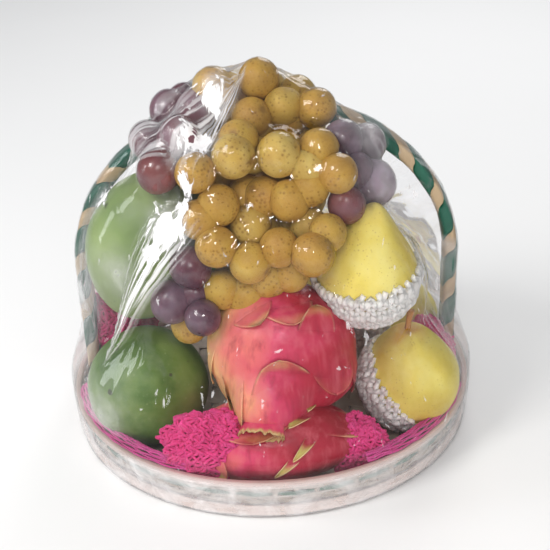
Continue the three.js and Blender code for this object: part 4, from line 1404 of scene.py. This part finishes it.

# Folds that run out like a fan from where the film is gathered. Ends are angles round from the front (right
# is positive) and up, seen from the film's centre. Then how many folds, their height and width in mm, how
# white the creases look (partly the film's own white, partly a painted reflection of the lights), half the
# fan's opening and how far it reaches, in degrees.
filmFans = [
    # gathered at, runs towards, count, height, width, white, fan, reach
    ((-58, -12), (-40.5, 34), 6, 2.0, 2.6, 1.0, 9, 58),
    ((-86, -16), (-74, 20), 4, 1.4, 2.4, 0.35, 15, 40),
    ((-38, 86), (-44, 56), 4, 2.0, 2.4, 0.7, 20, 32),
    ((-70, 40), (-50, 66), 4, 1.6, 2.4, 0.45, 24, 34),
    ((60, 66), (82, 0), 8, 1.7, 2.6, 0.28, 22, 74),
    ((70, -30), (66, 30), 6, 1.5, 2.6, 0.25, 20, 60),
    ((124, 58), (126, -14), 8, 2.2, 3.0, 0.28, 32, 80),
    ((-130, 56), (-134, -14), 8, 2.2, 3.0, 0.25, 32, 80),
    ((176, 60), (176, -14), 7, 2.2, 3.0, 0.28, 30, 80),
]
fanLines = {"across": 5.0, "along": 1.1}  # how fine the creases are, over half a fan and over a radian
fanBridge = 0.9  # how far the stretched film of the front fan keeps off what lies under it
rimFolds = {
    "count": 34, "height": 1.3, "width": 2.6, "white": 0.3, "band": (-27, -32), "crumple": 0.15, "swing": 28,
    "from": (-34, -28), "to": (-30, -20),  # the height angles they run between
}
skirtStreaks = {  # drawn sideways round the tray's wall
    "white": 0.4, "across": 0.3, "along": 3.0, "from": 28.5, "over": 4}
# milky patches, partly a painted reflection of the lights, glaring and crumpled patches: place, size in
# degrees, strength
filmPatches = {
    "hazeAndGlare": [
        ((-40, 38), 6, 0.45), ((-40, 62), 5, 0.35), ((-49, 76), 4, 0.5), ((-76, 33), 5, 0.3),
        ((-56, -24), 10, 0.35), ((62, 44), 9, 0.3), ((-90, -2), 11, 0.6), ((-72, 6), 7, 0.3),
        ((-55, 18), 7, 0.3), ((70, 58), 8, 0.35), ((84, -10), 9, 0.2),
    ],
    "glare": [
        ((-39.5, 38), 6.5, 1.0), ((-36, 44), 4, 0.95), ((-40, 63), 5, 0.95), ((-50, 75), 3.2, 0.9),
        ((-34, 50), 3.2, 0.85), ((-74, 35), 3.5, 0.85), ((-43, 29), 4, 0.8), ((67, 20), 2.6, 0.8),
    ],
    "crumple": [
        ((-38, 50), 14, 0.7), ((-48, 75), 8, 0.6), ((-75, 30), 10, 0.3), ((74, 40), 14, 0.3),
        ((82, -8), 12, 0.4),
    ],
}


def contentsTree():  # every surface that the film lies on, as one tree to cast rays at
    verts, faces = [], []
    for piece in scene.objects:
        if piece.type == "MESH" and piece.name not in frame["nodes"] and piece.name != "studioFloor":
            base = len(verts)
            verts.extend(vert.co.copy() for vert in piece.data.vertices)
            faces.extend([base + index for index in face.vertices] for face in piece.data.polygons)
    return BVHTree.FromPolygons(verts, faces)


def filmDirections():
    rows, columns = filmShape["rows"], filmShape["columns"]
    polar = np.radians(np.linspace(0, filmShape["lastAngle"], rows + 1))[:, None]
    around = (np.radians(filmShape["start"]) + np.arange(columns) / columns * 2 * pi)[None, :]
    return np.stack([np.sin(polar) * np.sin(around), -np.sin(polar) * np.cos(around),
                     np.cos(polar) + 0 * around], axis=2)


def evened(values):  # every point but those at the ends, in the middle of its four neighbours
    beside = np.roll(values, 1, 1) + np.roll(values, -1, 1)
    return (values[:-2] + values[2:] + beside[1:-1]) / 4


def settleFilm(directions, limit, bridged):  # a skin that pulls tight until it meets what it wraps
    radius = None
    for step, rounds in filmShape["rounds"]:  # coarse first, because the pull travels one point a round
        ways = directions[::step, ::step]
        least = limit
        for shift in range(1, step // 2 + 1):
            for axis in (0, 1):
                least = np.maximum.reduce([least, np.roll(least, shift, axis), np.roll(least, -shift, axis)])
        least = least[::step, ::step]
        if radius is None:
            radius = np.full(least.shape, filmShape["loose"])
        else:
            radius = np.repeat(np.repeat(radius, 2, axis=0)[:ways.shape[0]], 2, axis=1)
        radius[-1] = lowestRing(ways[-1])
        for _ in range(rounds):
            points = ways * radius[:, :, None]
            pulled = np.empty_like(points)
            pulled[1:-1] = evened(points)
            pulled[0] = points[1].mean(axis=0)
            pulled[-1] = points[-1]
            radius = np.maximum((pulled * ways).sum(axis=2), least)
    soft = np.where(limit > 0, limit, radius)  # shrunk on, it dips between the fruits
    for _ in range(filmShape["clingRounds"]):
        soft[1:-1] = evened(soft)
        soft[-1] = radius[-1]
    angles, shares = zip(*filmShape["cling"])
    cling = np.interp(np.degrees(np.arcsin(directions[:, :, 2])), angles, shares) * (1 - fanBridge * bridged)
    dipped = radius + cling * np.minimum(soft - radius, 0)
    return np.maximum(dipped, limit)


def lowestRing(directions):  # where the film leaves the tray's rim, straight down
    level = np.hypot(directions[:, 0], directions[:, 1])
    return filmShape["skirt"][0][0] / level


filmFields = ("hazeAndGlare", "gathered", "bearing", "away", "glare", "crumple")  # what the film's finish reads


def angleTo(directions, way):
    return np.arccos(np.clip(directions @ np.array(way), -1, 1))


def foldField(directions, dice):
    shape = directions.shape[:2]
    fields = {name: np.zeros(shape) for name in filmFields + ("lift", "bridged")}
    for fan, (apex, target, count, height, width, whiteness, opening, reach) in enumerate(filmFans):
        start, axis = towards(*apex), towards(*target)
        side = start.cross(axis).normalized()
        ahead = np.array(side.cross(start))
        side = np.array(side)
        bearing = np.arctan2(directions @ side, directions @ ahead)
        away = angleTo(directions, start)
        share = np.degrees(away) / reach
        weight = np.exp(-(np.degrees(bearing) / opening) ** 4) * np.clip((1.08 - share) / 0.3, 0, 1)
        weight *= whiteness * np.clip(share / 0.06, 0, 1) * (np.cos(bearing) > 0)
        best = weight > fields["gathered"]
        fields["gathered"][best] = weight[best]
        fields["bearing"][best] = bearing[best] / radians(opening) * fanLines["across"] + 20 * fan
        fields["away"][best] = away[best] * fanLines["along"]
        if fan == 0:
            fields["bridged"] = np.clip(weight * 1.5, 0, 1)
        for k in range(count):
            turn = radians(opening) * (2 * (k + dice.uniform(0.1, 0.9)) / count - 1)
            ray = Vector(ahead * cos(turn) + side * sin(turn))
            end = start * cos(radians(reach)) + ray * sin(radians(reach))
            strength = dice.uniform(0.45, 1.0)
            tall = ridge(directions, start, end, width * dice.uniform(0.6, 1.3), dice)
            fields["lift"] = np.maximum(fields["lift"], tall * height * strength)
    for k in range(rimFolds["count"]):
        azimuth = 360 * (k + dice.uniform(0, 1)) / rimFolds["count"]
        start = towards(azimuth, dice.uniform(*rimFolds["from"]))
        turn = dice.uniform(-rimFolds["swing"], rimFolds["swing"])
        end = towards(azimuth + turn, dice.uniform(*rimFolds["to"]))
        strength = dice.uniform(0.3, 1.0)
        tall = ridge(directions, start, end, rimFolds["width"] * dice.uniform(0.7, 1.4), dice)
        fields["lift"] = np.maximum(fields["lift"], tall * rimFolds["height"] * strength)
        fields["hazeAndGlare"] = np.maximum(fields["hazeAndGlare"], tall ** 3 * rimFolds["white"] * strength)
    elevation = np.degrees(np.arcsin(directions[:, :, 2]))
    high, low = rimFolds["band"]
    nearRim = np.clip((high - elevation) / (high - low), 0, 1)
    fields["hazeAndGlare"] *= nearRim
    fields["crumple"] = rimFolds["crumple"] * nearRim
    for name, patches in filmPatches.items():
        for place, size, strength in patches:
            apart = np.degrees(angleTo(directions, towards(*place)))
            fields[name] = np.maximum(fields[name], strength * np.exp(-(apart / size) ** 2))
    return fields


def ridge(directions, start, end, width, dice):  # one long fold from start to end
    side = start.cross(end).normalized()
    ahead = np.array(side.cross(start))
    share = np.arctan2(directions @ ahead, directions @ np.array(start)) / start.angle(end)
    wander = 0.012 * np.sin(share * dice.uniform(3, 8) + dice.uniform(0, 6))
    apart = np.abs(np.arcsin(np.clip(directions @ np.array(side), -1, 1)) - wander) * filmShape["scale"]
    taper = np.clip((share + 0.02) / 0.2, 0, 1) * np.clip((1.04 - share) / 0.45, 0, 1)
    spread = width * (0.7 + 0.8 * np.clip(share, 0, 1))
    return np.exp(-(apart / spread) ** 1.5) * taper


def filmLimits(directions):  # how far out the contents reach, seen from the film's centre
    tree = contentsTree()
    centre = Vector((0, 0, filmShape["centre"])) * mm
    reach = filmShape["rayReach"]
    limit = np.zeros(directions.shape[:2])
    for spot in np.ndindex(limit.shape):
        way = Vector(directions[spot])
        hit = tree.ray_cast(centre + way * reach, -way, reach)[0]
        if hit:
            limit[spot] = (hit - centre).length / mm + filmShape["gap"]
    return limit


def crinkle(way):
    way = Vector(way)
    deep, level = filmShape["crinkle"]
    fine = abs(noise.noise(way * Vector(filmShape["crinkleFine"])))
    return bumpy(way, [filmShape["broad"]]) + deep * (level - fine)


def hangSkirt(points):  # from the film's last ring down the tray's wall, drawn in under the foot
    columns = filmShape["columns"]
    around = np.arctan2(points[-1][:, 0], -points[-1][:, 1])
    twist, turns, lean = filmShape["pleatTwist"]
    wall, foot = filmShape["pleatOut"]
    milky, pleated, windowGlare, turned = filmShape["skirtHazeAndGlare"]
    rings = []
    made = {"hazeAndGlare": [], "gathered": [], "bearing": [], "away": []}
    before = np.stack([np.hypot(points[-1][:, 0], points[-1][:, 1]), points[-1][:, 2]])
    for k, (stop, count) in enumerate(zip(filmShape["skirt"], filmShape["skirtRows"])):
        after = np.array(stop)[:, None] * np.ones(columns)
        under = k > 3
        for i in range(1, count + 1):
            level, height = before + (after - before) * i / count
            pleat = np.zeros(columns)
            for wave, weight in filmShape["pleats"]:
                wander = twist * np.sin(turns * around + wave) + lean * height
                pleat += weight * np.sin(wave * around + wander)
            bulge = np.sin(pi * np.clip((height - filmShape["pleatFrom"]) / filmShape["pleatOver"], 0, 1))
            level = level + wall * pleat * bulge + (foot * pleat if under else 0)
            height = height + (filmShape["pleatUp"] * np.abs(pleat) if under else 0)
            rings.append(np.stack([level * np.sin(around), -level * np.cos(around), height], axis=1))
            veiled = np.clip((skirtStreaks["from"] - height) / skirtStreaks["over"], 0, 1)
            # milky film, plus a painted glare on the side that faces the window light
            hazeAndGlare = milky + pleated * pleat + windowGlare * np.cos(around + turned)
            made["hazeAndGlare"].append(veiled * np.clip(hazeAndGlare, 0, 1))
            made["gathered"].append(veiled * skirtStreaks["white"])
            made["bearing"].append(height * skirtStreaks["across"])
            made["away"].append(skirtStreaks["along"] * np.abs(around))
        before = after
    return rings, made


def buildFilm():
    rows, columns = filmShape["rows"], filmShape["columns"]
    directions = filmDirections()
    limit = filmLimits(directions)
    print("film limits found")
    fields = foldField(directions, random.Random(filmShape["seed"]))
    radius = settleFilm(directions, limit, fields["bridged"])
    free = np.clip((radius - limit) / filmShape["freeOver"], 0, 1)
    crinkled = np.apply_along_axis(crinkle, 2, directions)
    fade = np.clip(np.linspace(rows, 0, rows + 1)[:, None] / filmShape["fadeRows"], 0, 1)
    folds = fields["lift"] * lerp(filmShape["foldLeast"], 1, free)
    radius = radius + fade * (folds + crinkled * lerp(filmShape["crinkleLeast"], 1, free))
    radius = np.maximum(radius, limit - filmShape["sink"])
    radius[0] = radius[0].mean()
    points = directions * radius[:, :, None] + np.array([0, 0, filmShape["centre"]])
    rings, made = hangSkirt(points)
    points = np.concatenate([points, np.stack(rings)])
    for name, values in made.items():
        fields[name] = np.concatenate([fields[name], np.stack(values)])
    total = len(points) - 1
    bm = bmesh.new()
    stored = dict(zip(filmFields, layers(bm, *filmFields)))

    def place(u, v, vert):
        row, column = round((1 - v) * total), round(u * columns) % columns
        for name, values in stored.items():
            vert[values] = float(fields[name][min(row, len(fields[name]) - 1), column])
        return Vector(points[row, column]) * mm

    sealed(bm, grid(bm, columns, total, place), filmShape["seal"] * mm)
    addPiece("wrappingFilm", bm, "film", "clear_film", "film")


buildFilm()
print("film drawn tight")
